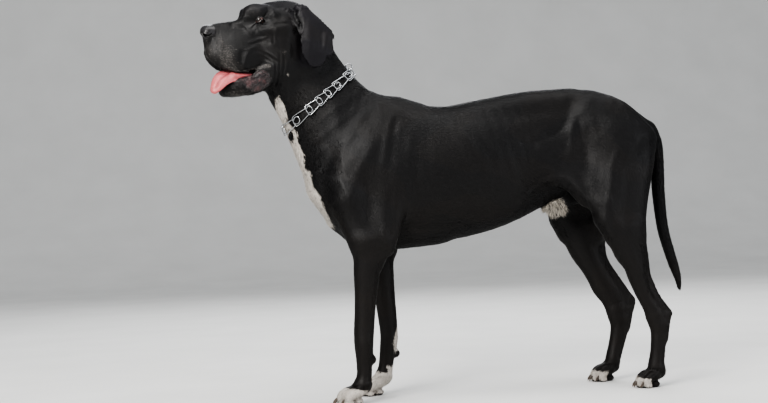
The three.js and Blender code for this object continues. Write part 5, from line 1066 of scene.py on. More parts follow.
def mixc(nt, fac, a, b, blend="MIX"):
    m = node(nt, "ShaderNodeMix", data_type="RGBA", blend_type=blend)
    for sock, v in ((m.inputs[0], fac), (m.inputs[6], a), (m.inputs[7], b)):
        if isinstance(v, (int, float)):
            sock.default_value = v
        elif isinstance(v, tuple):
            sock.default_value = (*v, 1)
        else:
            nt.links.new(v, sock)
    return m.outputs[2]


def attr(nt, name):
    return node(nt, "ShaderNodeAttribute", attribute_name=name)


def bump(nt, bsdf, height, strength, distance):
    b = node(nt, "ShaderNodeBump")
    b.inputs["Strength"].default_value = strength
    b.inputs["Distance"].default_value = distance
    nt.links.new(height, b.inputs["Height"])
    nt.links.new(b.outputs[0], bsdf.inputs["Normal"])
    return b


def fur_skin_material():
    """Short hair as colour and bump: fine streaks along the body, and white and grey hairs where the marks say so."""
    m, nt, bs = new_mat("short_coat_skin")
    tc = node(nt, "ShaderNodeTexCoord").outputs["Object"]
    tone = attr(nt, "Tone")
    streak = noise(nt, tc, 420, 3, 0.6, (0.35, 1.0, 0.55))
    fine = noise(nt, tc, 1300, 2, 0.6, (0.5, 1.0, 0.6))
    mark = attr(nt, "Mark")
    edge = mathn(nt, "ADD", mark.outputs["Fac"], mathn(nt, "MULTIPLY", mathn(nt, "SUBTRACT", streak.outputs["Fac"], 0.5), 9.0))
    isblack = maprange(nt, edge, -1.2, 1.2, 0, 1).outputs[0]
    hairs = maprange(nt, fine.outputs["Fac"], 0.3, 0.7, 0.55, 1.25).outputs[0]
    black = mixc(nt, 1.0, tone.outputs["Color"], hairs, "MULTIPLY")
    white = ramp(nt, fine.outputs["Fac"], [(0.25, (0.40, 0.35, 0.31)), (0.75, (0.70, 0.66, 0.61))]).outputs[0]
    nt.links.new(mixc(nt, isblack, white, black), bs.inputs["Base Color"])
    rough = maprange(nt, fine.outputs["Fac"], 0.2, 0.8, 0.36, 0.56).outputs[0]
    nt.links.new(rough, bs.inputs["Roughness"])
    bs.inputs["Specular IOR Level"].default_value = 0.34
    bs.inputs["Sheen Weight"].default_value = 0.0
    bs.inputs["Sheen Roughness"].default_value = 0.45
    bs.inputs["Sheen Tint"].default_value = (0.80, 0.74, 0.70, 1)
    hsum = mathn(nt, "ADD", streak.outputs["Fac"], mathn(nt, "MULTIPLY", fine.outputs["Fac"], 0.6))
    bump(nt, bs, hsum, 0.35, 0.0008)
    return m


def coat_material():
    """The tufts: their tone at each root, which carries the painted sheen of base_colour, and a soft gloss along the
    hair.
    """
    m, nt, bs = new_mat("short_coat_tufts")
    tc = node(nt, "ShaderNodeTexCoord").outputs["Object"]
    tone = attr(nt, "Tone")
    fine = noise(nt, tc, 900, 2, 0.5)
    k = maprange(nt, fine.outputs["Fac"], 0.3, 0.7, 0.75, 1.2).outputs[0]
    nt.links.new(mixc(nt, 1.0, tone.outputs["Color"], k, "MULTIPLY"), bs.inputs["Base Color"])
    nt.links.new(maprange(nt, fine.outputs["Fac"], 0.2, 0.8, 0.38, 0.54).outputs[0], bs.inputs["Roughness"])
    bs.inputs["Specular IOR Level"].default_value = 0.34
    bs.inputs["Sheen Weight"].default_value = 0.0
    bs.inputs["Sheen Roughness"].default_value = 0.45
    bs.inputs["Sheen Tint"].default_value = (0.80, 0.74, 0.70, 1)
    return m


def leather_material():
    m, nt, bs = new_mat("nose_leather")
    tc = node(nt, "ShaderNodeTexCoord").outputs["Object"]
    cell = node(nt, "ShaderNodeTexVoronoi", feature="F1")
    cell.inputs["Scale"].default_value = 620
    nt.links.new(tc, cell.inputs["Vector"])
    n = noise(nt, tc, 160, 3)
    tone = attr(nt, "Tone")
    k = ramp(nt, cell.outputs["Distance"], [(0.0, (1.35, 1.3, 1.3)), (0.8, (0.55, 0.55, 0.55))]).outputs[0]
    nt.links.new(mixc(nt, 1.0, tone.outputs["Color"], k, "MULTIPLY"), bs.inputs["Base Color"])
    nt.links.new(maprange(nt, n.outputs["Fac"], 0.3, 0.7, 0.24, 0.42).outputs[0], bs.inputs["Roughness"])
    bs.inputs["Specular IOR Level"].default_value = 0.55
    bs.inputs["Coat Weight"].default_value = 0.35
    bs.inputs["Coat Roughness"].default_value = 0.22
    h = mathn(nt, "MULTIPLY", cell.outputs["Distance"], -1.0)
    bump(nt, bs, h, 0.55, 0.0006)
    return m


def flesh_material(name, wet):
    m, nt, bs = new_mat(name)
    tc = node(nt, "ShaderNodeTexCoord").outputs["Object"]
    tone = attr(nt, "Tone")
    n = noise(nt, tc, 130, 4, 0.6)
    f = noise(nt, tc, 800, 3, 0.6)
    k = ramp(nt, n.outputs["Fac"], [(0.3, (0.55, 0.5, 0.52)), (0.55, (1.0, 1.0, 1.0)), (0.75, (1.6, 1.35, 1.3))]).outputs[0]
    nt.links.new(mixc(nt, 1.0, tone.outputs["Color"], k, "MULTIPLY"), bs.inputs["Base Color"])
    nt.links.new(maprange(nt, f.outputs["Fac"], 0.3, 0.7, 0.2, 0.42).outputs[0], bs.inputs["Roughness"])
    bs.inputs["Coat Weight"].default_value = wet
    bs.inputs["Coat Roughness"].default_value = 0.16
    bs.inputs["Subsurface Weight"].default_value = 0.12
    bs.inputs["Subsurface Radius"].default_value = (0.004, 0.0015, 0.001)
    bump(nt, bs, mathn(nt, "ADD", mathn(nt, "MULTIPLY", n.outputs["Fac"], 2.0), f.outputs["Fac"]), 0.8, 0.0022)
    return m


def tongue_material():
    m, nt, bs = new_mat("tongue_flesh")
    tc = node(nt, "ShaderNodeTexCoord").outputs["Object"]
    tone = attr(nt, "Tone")
    n = noise(nt, tc, 90, 3, 0.6)
    v = node(nt, "ShaderNodeTexVoronoi", feature="F1")
    v.inputs["Scale"].default_value = 900
    nt.links.new(tc, v.inputs["Vector"])
    k = ramp(nt, n.outputs["Fac"], [(0.3, (0.88, 0.84, 0.84)), (0.7, (1.08, 1.05, 1.05))]).outputs[0]
    nt.links.new(mixc(nt, 1.0, tone.outputs["Color"], k, "MULTIPLY"), bs.inputs["Base Color"])
    nt.links.new(maprange(nt, v.outputs["Distance"], 0.0, 0.7, 0.5, 0.32).outputs[0], bs.inputs["Roughness"])
    bs.inputs["Coat Weight"].default_value = 0.3
    bs.inputs["Coat Roughness"].default_value = 0.2
    bs.inputs["Subsurface Weight"].default_value = 0.15
    bs.inputs["Subsurface Radius"].default_value = (0.005, 0.0018, 0.0012)
    bump(nt, bs, mathn(nt, "SUBTRACT", n.outputs["Fac"], v.outputs["Distance"]), 0.35, 0.0008)
    return m


def pad_material():
    m, nt, bs = new_mat("paw_pads")
    tc = node(nt, "ShaderNodeTexCoord").outputs["Object"]
    v = node(nt, "ShaderNodeTexVoronoi", feature="F1")
    v.inputs["Scale"].default_value = 700
    nt.links.new(tc, v.inputs["Vector"])
    c = ramp(nt, v.outputs["Distance"], [(0.0, (0.035, 0.031, 0.030)), (0.8, (0.013, 0.012, 0.012))]).outputs[0]
    nt.links.new(c, bs.inputs["Base Color"])
    nt.links.new(maprange(nt, v.outputs["Distance"], 0, 0.8, 0.55, 0.8).outputs[0], bs.inputs["Roughness"])
    bump(nt, bs, mathn(nt, "MULTIPLY", v.outputs["Distance"], -1.0), 0.6, 0.0007)
    return m


def eye_material():
    m, nt, bs = new_mat("eye_gloss")
    tc = node(nt, "ShaderNodeTexCoord").outputs["Object"]
    tone = attr(nt, "Tone")
    n = noise(nt, tc, 700, 3, 0.6)
    k = ramp(nt, n.outputs["Fac"], [(0.3, (0.8, 0.8, 0.8)), (0.7, (1.2, 1.2, 1.2))]).outputs[0]
    nt.links.new(mixc(nt, 1.0, tone.outputs["Color"], k, "MULTIPLY"), bs.inputs["Base Color"])
    nt.links.new(maprange(nt, n.outputs["Fac"], 0.2, 0.8, 0.10, 0.16).outputs[0], bs.inputs["Roughness"])
    bs.inputs["Coat Weight"].default_value = 1.0
    bs.inputs["Coat Roughness"].default_value = 0.02
    bs.inputs["Coat IOR"].default_value = 1.38
    return m


def claw_material():
    m, nt, bs = new_mat("claw_horn")
    tc = node(nt, "ShaderNodeTexCoord").outputs["Object"]
    tone = attr(nt, "Tone")
    n = noise(nt, tc, 500, 3, 0.6, (0.3, 1, 1))
    k = ramp(nt, n.outputs["Fac"], [(0.3, (0.7, 0.7, 0.7)), (0.7, (1.3, 1.25, 1.2))]).outputs[0]
    nt.links.new(mixc(nt, 1.0, tone.outputs["Color"], k, "MULTIPLY"), bs.inputs["Base Color"])
    nt.links.new(maprange(nt, n.outputs["Fac"], 0.2, 0.8, 0.30, 0.5).outputs[0], bs.inputs["Roughness"])
    bump(nt, bs, n.outputs["Fac"], 0.3, 0.0004)
    return m


def steel_material():
    m, nt, bs = new_mat("collar_chrome")
    tc = node(nt, "ShaderNodeTexCoord").outputs["Object"]
    n = noise(nt, tc, 260, 4, 0.6)
    f = noise(nt, tc, 2200, 2, 0.5)
    c = ramp(nt, n.outputs["Fac"], [(0.25, (0.27, 0.275, 0.285)), (0.6, (0.56, 0.57, 0.58))]).outputs[0]
    nt.links.new(c, bs.inputs["Base Color"])
    bs.inputs["Metallic"].default_value = 1.0
    nt.links.new(maprange(nt, n.outputs["Fac"], 0.25, 0.75, 0.34, 0.16).outputs[0], bs.inputs["Roughness"])
    bump(nt, bs, f.outputs["Fac"], 0.15, 0.0002)
    return m


MAT = {
    "skin": fur_skin_material(), "coat": coat_material(), "nose": leather_material(), "flesh": flesh_material("mouth_flesh", 0.22),
    "lid": flesh_material("lid_rims", 0.8), "pad": pad_material(), "eye": eye_material(), "tongue": tongue_material(), "claw": claw_material(), "steel": steel_material(),
}


# ---------------------------------------------------------------- objects
def make_object(name, co, faces, mats, tone=None, floats=None, index=None):
    """co in design mm; faces an (n,3) or (n,4) array, or a list of such arrays and lists."""
    me = bpy.data.meshes.new(name)
    co = put(co)
    groups = faces if isinstance(faces, list) else [faces]
    totals, verts = [], []
    for g in groups:
        if isinstance(g, np.ndarray):
            totals.append(np.full(len(g), g.shape[1], np.int32))
            verts.append(g.astype(np.int32).ravel())
        elif len(g):
            totals.append(np.array([len(p) for p in g], np.int32))
            verts.append(np.array([v for p in g for v in p], np.int32))
    totals, verts = np.concatenate(totals), np.concatenate(verts)
    me.vertices.add(len(co))
    me.vertices.foreach_set("co", co.ravel())
    me.loops.add(len(verts))
    me.loops.foreach_set("vertex_index", verts)
    me.polygons.add(len(totals))
    me.polygons.foreach_set("loop_start", np.concatenate([[0], np.cumsum(totals)[:-1]]).astype(np.int32))
    for m in mats:
        me.materials.append(m)
    me.update(calc_edges=True)
    me.polygons.foreach_set("use_smooth", np.ones(len(totals), bool))
    if index is not None:
        me.polygons.foreach_set("material_index", index.astype(np.int32))
    if tone is not None:
        a = me.color_attributes.new("Tone", "FLOAT_COLOR", "POINT")
        rgba = np.ones((len(co), 4), f32)
        rgba[:, :3] = tone
        a.data.foreach_set("color", rgba.ravel())
    for k, v in (floats or {}).items():
        a = me.attributes.new(k, "FLOAT", "POINT")
        a.data.foreach_set("value", v.astype(f32))
    ob = bpy.data.objects.new(name, me)
    bpy.context.scene.collection.objects.link(ob)
    return ob


FLESHY = [n for n in nodes if not (n.startswith("eye_") or "_claw_" in n or n in ("tongue", "collar"))]

# soft folds in the turned-out lower lip
lipfold = smooth(0.5, -6.0, in_poly(hp[:, 0], hp[:, 2], POLY["mouth inside lip"])) * (np.abs(hp[:, 1]) > 22) * (P[:, 2] > 840) * (hp[:, 2] < -132)
fold_t = hp[:, 0] * 0.62 + hp[:, 2] * 0.78 + 4.0 * wob(P, 15, 8.0)
P = P + N * (lipfold * (1.0 * np.sin(fold_t * 0.60) + 1.3 * wob(P, 6.5, 5.0) - 0.6))[:, None]
N = normals_of(P, quads, others)
hp = to_head(P)

# skin tones
mo = mouth_field(P, reach=20)
mark = white_at(P)
griz = grizzle_at(P)
wet = wet_flesh_at(P, mo)
nose = np.clip(nose_at(P), 0, 1)
pads = pad_at(P, N)
tone = base_colour(P)
g = (griz * 0.35)[:, None]
tone = tone * (1 - g) + GREY * g
# painted shadow: the skin in the ear opening is darkened to stand in for the shade of the ear canal
ear_canal_shade = smooth(4.0, 0.0, in_poly(hp[:, 0], hp[:, 2], POLY["ear canal"])) * (np.abs(hp[:, 1]) > 52) * (hp[:, 0] < -80)
tone = tone * (1 - 0.6 * ear_canal_shade[:, None])
fl = wet[:, None]
lipc = np.array([0.020, 0.013, 0.014])
pink = np.array([0.175, 0.082, 0.084])
# painted highlight: pale is a pink-white wet highlight on the turned-out lower lip, mixed into the pink spots
pale = np.exp(-(((hp[:, 0] - 56) / 8) ** 2 + ((hp[:, 2] + 168) / 7) ** 2)) * (np.abs(hp[:, 1]) > 22)
spots_and_highlight = np.clip(0.12 + 1.3 * wob(P, 3.4, 1.0) * wob(P, 7.5, 4.0) + 0.5 * wob(P, 9.0, 2.0) + 0.7 * pale, 0, 1)[:, None]
inner = smooth(-6.0, -1.0, mo)[:, None] * 0
fleshc = lipc * (1 - 0.8 * spots_and_highlight) + pink * 0.8 * spots_and_highlight
# painted shade: the mouth flesh near the middle gets darker towards the back of the mouth
deep = smooth(50, 0, hp[:, 0])[:, None] * (np.abs(hp[:, 1]) < 30)[:, None]
fleshc = fleshc * (1 - 0.6 * deep)
rimd = np.minimum(in_poly(hp[:, 0], hp[:, 2], POLY["mouth inside lip"]), 0)
fleshc = fleshc * np.where(np.abs(hp[:, 1]) > 26, 0.18 + 0.82 * smooth(0.5, -9.0, rimd), 0.7)[:, None]
tone = tone * (1 - fl) + fleshc * fl
nl = nose[:, None]
tone = tone * (1 - nl) + np.array([0.013, 0.011, 0.012]) * nl
# painted shade: the nostril openings are darkened
tone = tone * (1 - 0.9 * dark[:, None])
lidd = lid[:, None]
tone = tone * (1 - 0.8 * lidd) + np.array([0.008, 0.006, 0.006]) * 0.8 * lidd
hw = haw[:, None]
tone = tone * (1 - hw) + np.array([0.085, 0.038, 0.034]) * hw

tot = np.concatenate([np.full(len(quads), 4), np.array([len(p) for p in others], int)]).astype(int)


def per_face(v, how="mean"):
    q = v[quads].mean(1)
    o = np.array([v[p].mean() for p in others]) if others else np.zeros(0)
    return np.concatenate([q, o])


idx = np.zeros(len(tot), int)
idx[per_face(pads) > 0.5] = 3
idx[per_face(wet) > 0.5] = 2
idx[per_face(nose) > 0.5] = 1
idx[per_face(np.maximum(lid, haw)) > 0.5] = 4
skin = make_object("skin", P, [quads, others], [MAT["skin"], MAT["nose"], MAT["flesh"], MAT["pad"], MAT["lid"]], tone, {"Mark": np.maximum(mark, -40)}, idx)
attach(skin, "root")
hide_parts(*FLESHY)
lap("skin object")

# the unwrap that the tufts share
bpy.context.view_layer.objects.active = skin
skin.select_set(True)
skin.data.uv_layers.new(name="OFBake")
bpy.ops.object.mode_set(mode="EDIT")
bpy.ops.mesh.select_all(action="SELECT")
bpy.ops.uv.smart_project(angle_limit=math.radians(66), island_margin=0.0008, area_weight=0.0, correct_aspect=True, scale_to_bounds=False)
bpy.ops.object.mode_set(mode="OBJECT")
skin.select_set(False)
uv = np.zeros(len(skin.data.loops) * 2, f32)
skin.data.uv_layers["OFBake"].data.foreach_get("uv", uv)
uv = uv.reshape(-1, 2)
quad_uv = uv[:len(quads) * 4].reshape(-1, 4, 2)
lap("unwrap")

# ---------------------------------------------------------------- the lie of the coat
FLOW = []


def lie(inhead, rows):
    for x, y, z, dx, dy, dz in rows:
        for s in (1, -1) if y else (1,):
            if inhead:
                FLOW.append(np.concatenate([head(x, y * s, z), unit(HF * dx + HL * dy * s + HU * dz)]))
            else:
                FLOW.append(np.concatenate([V(x, y * s, z), unit(V(dx, dy * s, dz))]))


lie(False, [
    (-200, 50, 880, 0.6, 0, -0.8), (-150, 0, 985, 0.75, 0, -0.66), (-100, 0, 930, 0.8, 0, -0.6), (-270, 0, 850, 0.3, 0, -0.95), (-230, 30, 690, 0.2, 0.25, -0.95), (-190, 30, 600, 0.15, 0.4, -0.9), (-130, 0, 500, 0.7, 0, -0.6),
    (-60, 95, 650, 0.45, 0, -0.9), (-90, 80, 760, 0.6, 0, -0.8), (50, 0, 855, 1, 0, -0.1), (300, 0, 845, 1, 0, 0), (500, 0, 860, 1, 0, 0), (100, 100, 760, 0.8, 0, -0.55), (200, 118, 650, 0.85, 0, -0.5), (350, 112, 620, 0.85, 0, -0.5), (400, 80, 780, 0.9, 0, -0.35),
    (60, 60, 450, 0.85, 0, 0.0), (200, 30, 440, 0.9, 0, 0.1), (450, 40, 530, 0.85, 0, 0.35), (520, 80, 600, 0.75, 0, -0.6), (650, 0, 850, 0.9, 0, -0.4), (740, 0, 800, 0.6, 0, -0.8), (600, 92, 780, 0.75, 0, -0.65), (660, 112, 600, 0.4, 0, -0.9), (600, 108, 520, 0.35, 0, -0.93),
    (750, 60, 620, 0.3, 0.15, -0.93), (700, 30, 560, 0.3, 0, -0.95), (800, 0, 700, 0.05, 0, -1), (808, 0, 560, 0, 0, -1), (812, 0, 450, 0.1, 0, -1), (840, 0, 350, 0.45, 0, -0.9), (858, 0, 290, 0.3, 0, -0.95),
    (700, 105, 380, 0.38, 0, -0.92), (770, 95, 200, 0.05, 0, -1), (760, 95, 110, -0.08, 0, -1), (640, 108, 400, 0.45, 0, -0.9),
    (-60, 105, 500, 0.25, 0, -0.95), (-60, 98, 350, 0, 0, -1), (-78, 95, 220, 0, 0, -1), (-88, 95, 100, -0.05, 0, -1), (10, 90, 250, 0.03, 0, -1), (0, 85, 110, -0.08, 0, -1), (15, 98, 380, 0, 0, -1), (-150, 95, 30, -0.75, 0, -0.6), (-70, 82, 30, -0.75, 0, -0.6), (700, 95, 30, -0.75, 0, -0.6), (625, 108, 30, -0.75, 0, -0.6), (620, 108, 250, 0.4, 0, -0.9), (700, 108, 180, 0, 0, -1), (690, 108, 100, -0.15, 0, -1),
])
lie(True, [
    (125, 0, 8, -1, 0, 0.05), (70, 0, 8, -1, 0, 0.02), (30, 0, 30, -0.9, 0, 0.4), (0, 0, 48, -1, 0, 0.1), (-60, 0, 48, -1, 0, -0.05), (-110, 0, 25, -0.85, 0, -0.5), (135, 24, -50, -0.8, 0, -0.5), (150, 12, -75, -0.6, 0.1, -0.75), (110, 34, -80, -0.85, 0, -0.5), (60, 44, -80, -0.9, 0, -0.35), (60, 46, -120, -0.85, 0, -0.45),
    (10, 52, -35, -0.95, 0, -0.3), (0, 50, -100, -0.85, 0, -0.5), (-40, 68, -70, -0.8, 0, -0.6), (-30, 60, 10, -0.95, 0, -0.1), (-70, 60, -20, -0.8, 0, -0.55), (-50, 66, -120, -0.5, 0, -0.85), (120, 20, -192, -0.85, 0, -0.4), (60, 36, -195, -0.95, 0, -0.2), (10, 44, -180, -0.9, 0, -0.4), (-50, 30, -200, -0.6, 0, -0.8),
    (-110, 80, 5, -0.35, 0.25, -0.85), (-130, 94, -50, -0.25, 0, -0.95), (-140, 96, -90, -0.15, 0, -1), (-118, 98, -140, 0.15, 0, -1), (-100, 88, -70, -0.05, 0, -1), (-165, 92, -80, -0.3, 0, -0.95), (25, 40, 22, -0.8, 0.2, 0.45), (-10, 46, 24, -0.95, 0.1, 0.1),
])
FLOW = np.array(FLOW)


def flow_at(P, N):
    out = np.empty_like(P)
    for i in range(0, len(P), 60000):
        d = P[i:i + 60000, None, :] - FLOW[None, :, :3]
        w = 1 / ((d * d).sum(2) + 500.0) ** 2
        out[i:i + 60000] = (w[:, :, None] * FLOW[None, :, 3:]).sum(1) / w.sum(1)[:, None]
    out -= (out * N).sum(1)[:, None] * N
    L = np.linalg.norm(out, axis=1)
    bad = L < 1e-6
    out[bad] = np.cross(N[bad], V(0, 1, 0))
    return out / np.maximum(np.linalg.norm(out, axis=1), 1e-9)[:, None]


# ---------------------------------------------------------------- the coat
qa = P[quads]
area = 0.5 * (np.linalg.norm(np.cross(qa[:, 1] - qa[:, 0], qa[:, 2] - qa[:, 0]), axis=1) + np.linalg.norm(np.cross(qa[:, 2] - qa[:, 0], qa[:, 3] - qa[:, 0]), axis=1))
qc = qa.mean(1)
qn = N[quads].mean(1)
qh = to_head(qc)
bare = np.maximum.reduce([wet[quads].mean(1), nose[quads].mean(1), pads[quads].mean(1) * 1.0, np.maximum(lid, haw)[quads].mean(1) * 1.4, dark[quads].mean(1), 0.9 * ear_canal_shade[quads].mean(1)])
bare = smooth(0.25, 0.6, bare)
bare = np.maximum(bare, qc[:, 2] < 4.5)
q_ear = is_ear[quads].mean(1) > 0.5
q_head = (qh[:, 0] > -150) & (qc[:, 2] > 850) & (qc[:, 0] < -150) & ~q_ear & ((qh[:, 2] > -165) | (qh[:, 0] > -30))
q_leg = (qc[:, 2] < 440) & (qc[:, 0] < 790) & ((np.abs(qc[:, 1]) > 45))
q_paw = qc[:, 2] < 62
q_tail = (qc[:, 0] > 778) & (np.abs(qc[:, 1]) < 40) & (qc[:, 2] < 745)


def region_of():
    r = np.full(len(quads), 1)  # neck and chest
    r[qc[:, 0] > -60] = np.where(qc[qc[:, 0] > -60][:, 1] < 0, 2, 3)
    r[qc[:, 0] > 430] = np.where(qc[qc[:, 0] > 430][:, 1] < 0, 4, 5)
    r[q_leg & (qc[:, 0] < 300)] = 6
    r[q_leg & (qc[:, 0] > 300)] = 7
    r[q_tail] = 7
    r[q_head] = 0
    r[q_ear] = 0
    return r


REG = region_of()
REG_NAMES = ["coat_head", "coat_neck", "coat_side_left", "coat_side_right", "coat_rear_left", "coat_rear_right", "coat_forelegs", "coat_hindlegs"]
density = np.full(len(quads), 0.125)  # tufts per square mm
density[q_head] = 0.15
density[q_ear] = 0.15
density[q_leg] = 0.145
density[q_paw] = 0.17
length = np.full(len(quads), 12.0)
length[q_head] = 6.0
length[q_head & (qh[:, 0] > 90)] = 4.6
length[q_ear] = 5.2
length[q_leg] = 8.5
length[q_paw] = 5.5
length[REG == 1] = 11.0
length[q_tail] = 10.0
width = length * 0.085 + 0.42


def sample(weight, rng):
    """Roots spread over the faces by area and weight: face, place in it, position, normal, unwrap place."""
    w = area * weight
    want = w + 0.0
    n = np.floor(want + rng.random(len(want))).astype(int)
    f = np.repeat(np.arange(len(quads)), n)
    s, t = rng.random(len(f)), rng.random(len(f))
    c = [(1 - s) * (1 - t), s * (1 - t), s * t, (1 - s) * t]

    def mix(v):
        return sum(ci[:, None] * v[:, i] for i, ci in enumerate(c))

    p = mix(P[quads[f]])
    n_ = mix(N[quads[f]])
    n_ /= np.linalg.norm(n_, axis=1, keepdims=True) + 1e-9
    return f, p, n_, mix(quad_uv[f])


def tuft_tones(p, rng, dim=None):
    m = white_at(p) + rng.normal(0, 1.6, len(p))
    g = grizzle_at(p)
    # base_colour brings the painted bluish and brown sheen into each tuft's colour
    col = base_colour(p) * np.exp(rng.normal(0, 0.22, len(p)))[:, None]
    grey = (rng.random(len(p)) < g * 0.9)[:, None]
    col = np.where(grey, GREY * rng.uniform(0.25, 1.35, (len(p), 1)) ** 1.3, col)
    white = (m < 0)[:, None]
    stray = (rng.random(len(p)) < 0.02)[:, None]
    col = np.where(white & ~stray, WHITE * rng.uniform(0.72, 1.12, (len(p), 1)), col)
    return np.clip(col, 0, 1)


class Tufts:
    """Tufts gathered for one piece: each a pointed, roofed blade of 5 corners, with an underside where it stands free."""

    def __init__(self):
        self.co, self.fa, self.tone, self.uv, self.n = [], [], [], [], 0

    def add(self, p, n, d, L, W, root, mid, tip, tone, ruv, closed, rng, bend=0.0):
        m = len(p)
        if not m:
            return
        side = np.cross(n, d)
        d = d + side * rng.normal(0, 0.10, m)[:, None]
        d /= np.linalg.norm(d, axis=1, keepdims=True)
        side = np.cross(n, d)
        L, W, root, mid, tip = (np.broadcast_to(v, m).reshape(m, 1) for v in (L, W, root, mid, tip))
        a = p + n * root
        c = p + d * L * 0.45 + n * mid
        e = p + d * L + n * tip + side * (rng.normal(0, 0.05, m)[:, None] * L)
        if bend:
            e = e - V(0, 0, 1) * (L * bend)
        ridge = c + n * (W * 0.32)
        co = np.stack([a, c - side * W, ridge, c + side * W, e], 1)
        base = self.n + np.arange(m)[:, None] * 5
        top = np.array([[0, 2, 1], [0, 3, 2], [1, 2, 4], [2, 3, 4]])
        if closed:
            top = np.concatenate([top, [[0, 1, 3], [1, 4, 3]]])
        self.fa.append((base[:, None, :] + top[None]).reshape(-1, 3))
        self.co.append(co.reshape(-1, 3))
        k = np.array([0.72, 0.95, 1.0, 0.95, 1.12])[None, :, None]
        self.tone.append((tone[:, None, :] * k).reshape(-1, 3))
        o = np.array([[0, -0.5], [-0.5, -0.05], [0, 0.0], [0.5, -0.05], [0, 0.5]]) * 0.003
        self.uv.append((ruv[:, None, :] + o[None]).reshape(-1, 2))
        self.n += m * 5

    def build(self, name):
        co, fa, tone, uvs = (np.concatenate(v) for v in (self.co, self.fa, self.tone, self.uv))
        co[:, 2] = np.maximum(co[:, 2], 2.45)
        ob = make_object(name, co, fa, [MAT["coat"]], np.clip(tone, 0, 1))
        layer = ob.data.uv_layers.new(name="OFBake")
        layer.data.foreach_set("uv", np.clip(uvs[fa.ravel()], 0.0, 1.0).astype(f32).ravel())
        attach(ob, "root")
        return ob, len(fa)


coats = [Tufts() for _ in REG_NAMES]
counts = []
rng = np.random.default_rng(20)


TREE = BVHTree.FromPolygons(P.tolist(), quads.tolist())


def tip_height(p, d, L):
    """How far the end of a straight tuft from a root along d stands off the skin."""
    out = np.zeros(len(p))
    near = TREE.find_nearest
    for i, q in enumerate((p + d * L[:, None]).tolist()):
        c, n, k, r = near(q, 14.0)
        if c is not None:
            out[i] = (q[0] - c[0]) * n[0] + (q[1] - c[1]) * n[1] + (q[2] - c[2]) * n[2]
    return np.clip(out, -4, 4)


# the flat coat
f, p, n_, ruv = sample(density * (1 - bare), rng)
d = flow_at(p, n_)
L = length[f] * rng.uniform(0.75, 1.2, len(f))
W = width[f] * rng.uniform(0.75, 1.2, len(f)) * 0.5
off_t = tip_height(p, d, L)
off_m = off_t * 0.2
fine = np.clip(L / 12, 0.4, 1)
mid = -off_m + fine * rng.uniform(0.35, 0.75, len(f))
tip = -off_t + fine * rng.uniform(0.30, 1.35, len(f)) ** 1.3
tone_t = tuft_tones(p, rng)
for r in range(len(REG_NAMES)):
    k = REG[f] == r
    coats[r].add(p[k], n_[k], d[k], L[k], W[k], -0.35, mid[k], tip[k], tone_t[k], ruv[k], False, rng)
lap(f"flat coat {len(f)}")

# tufts that break the outline: name, faces, tufts per square cm, length, rise, droop
side_n = np.abs(qn @ HL)
SPARE = [
    ("ear edge", q_ear & (side_n < 0.55), 12, 3.4, 0.08, 0.0),
    ("ear opening", (qh[:, 0] < -74) & (qh[:, 0] > -108) & (np.abs(qh[:, 1]) > 52) & (qh[:, 2] > -52) & (qh[:, 2] < 14) & ~q_ear, 9, 8.0, 0.40, 0.0),
    ("chest seam", (qc[:, 0] < -130) & (qc[:, 2] > 470) & (qc[:, 2] < 880) & ~q_head & (qn[:, 0] < -0.2), 2.4 * smooth(-0.2, -0.8, qn[:, 0]), 12.0, 0.12, 0.04),
    ("breast", (qc[:, 0] < 60) & (qc[:, 2] > 420) & (qc[:, 2] < 560) & (qn[:, 2] < -0.4) & (np.abs(qc[:, 1]) < 70), 2.2, 12.0, 0.14, 0.06),
    ("back of foreleg", q_leg & (qc[:, 0] < 100) & (qn[:, 0] > 0.35) & (qc[:, 2] > 60), 4.5, 8.0, 0.15, 0.0),
    ("back of thigh", (qc[:, 0] > 600) & (qn[:, 0] > 0.45) & (qc[:, 2] > 60) & (qc[:, 2] < 740) & ~q_tail, 3.0, 11.0, 0.13, 0.02),
    ("belly", (qn[:, 2] < -0.6) & (qc[:, 0] > 0) & (qc[:, 0] < 560) & (qc[:, 2] > 380) & (np.abs(qc[:, 1]) < 90), 2.2, 11.0, 0.13, 0.06),
    ("flank", (qn[:, 2] < -0.2) & (qc[:, 0] > 380) & (qc[:, 0] < 640) & (qc[:, 2] > 430) & (qc[:, 2] < 640), 1.6, 12.0, 0.18, 0.1),
    ("back line", (qn[:, 2] > 0.88) & (qc[:, 2] > 700) & (qc[:, 0] > -170), 0.8, 11.0, 0.10, 0.0),
    ("neck crest", (qn[:, 0] > 0.3) & (qc[:, 0] < 10) & (qc[:, 2] > 820) & ~q_ear & ~q_head, 2.4, 9.5, 0.12, 0.0),
    ("tail under", q_tail, 5.0, 12.0, 0.17, 0.0),
    ("toes", q_paw & (qn[:, 2] < 0.75), 7.0, 6.0, 0.26, 0.25),
    ("lip edge", q_head & (qn @ HU < -0.35) & (qh[:, 2] < -95), 6.0, 5.5, 0.35, 0.2),
    ("chin", (qh[:, 2] < -178) & (qh[:, 0] > 0) & q_head, 7.0, 7.0, 0.35, 0.2),
    ("throat", (qh[:, 0] < 0) & (qh[:, 0] > -110) & (qh[:, 2] < -150) & (qn[:, 0] < -0.1), 2.4, 9.0, 0.22, 0.1),
]
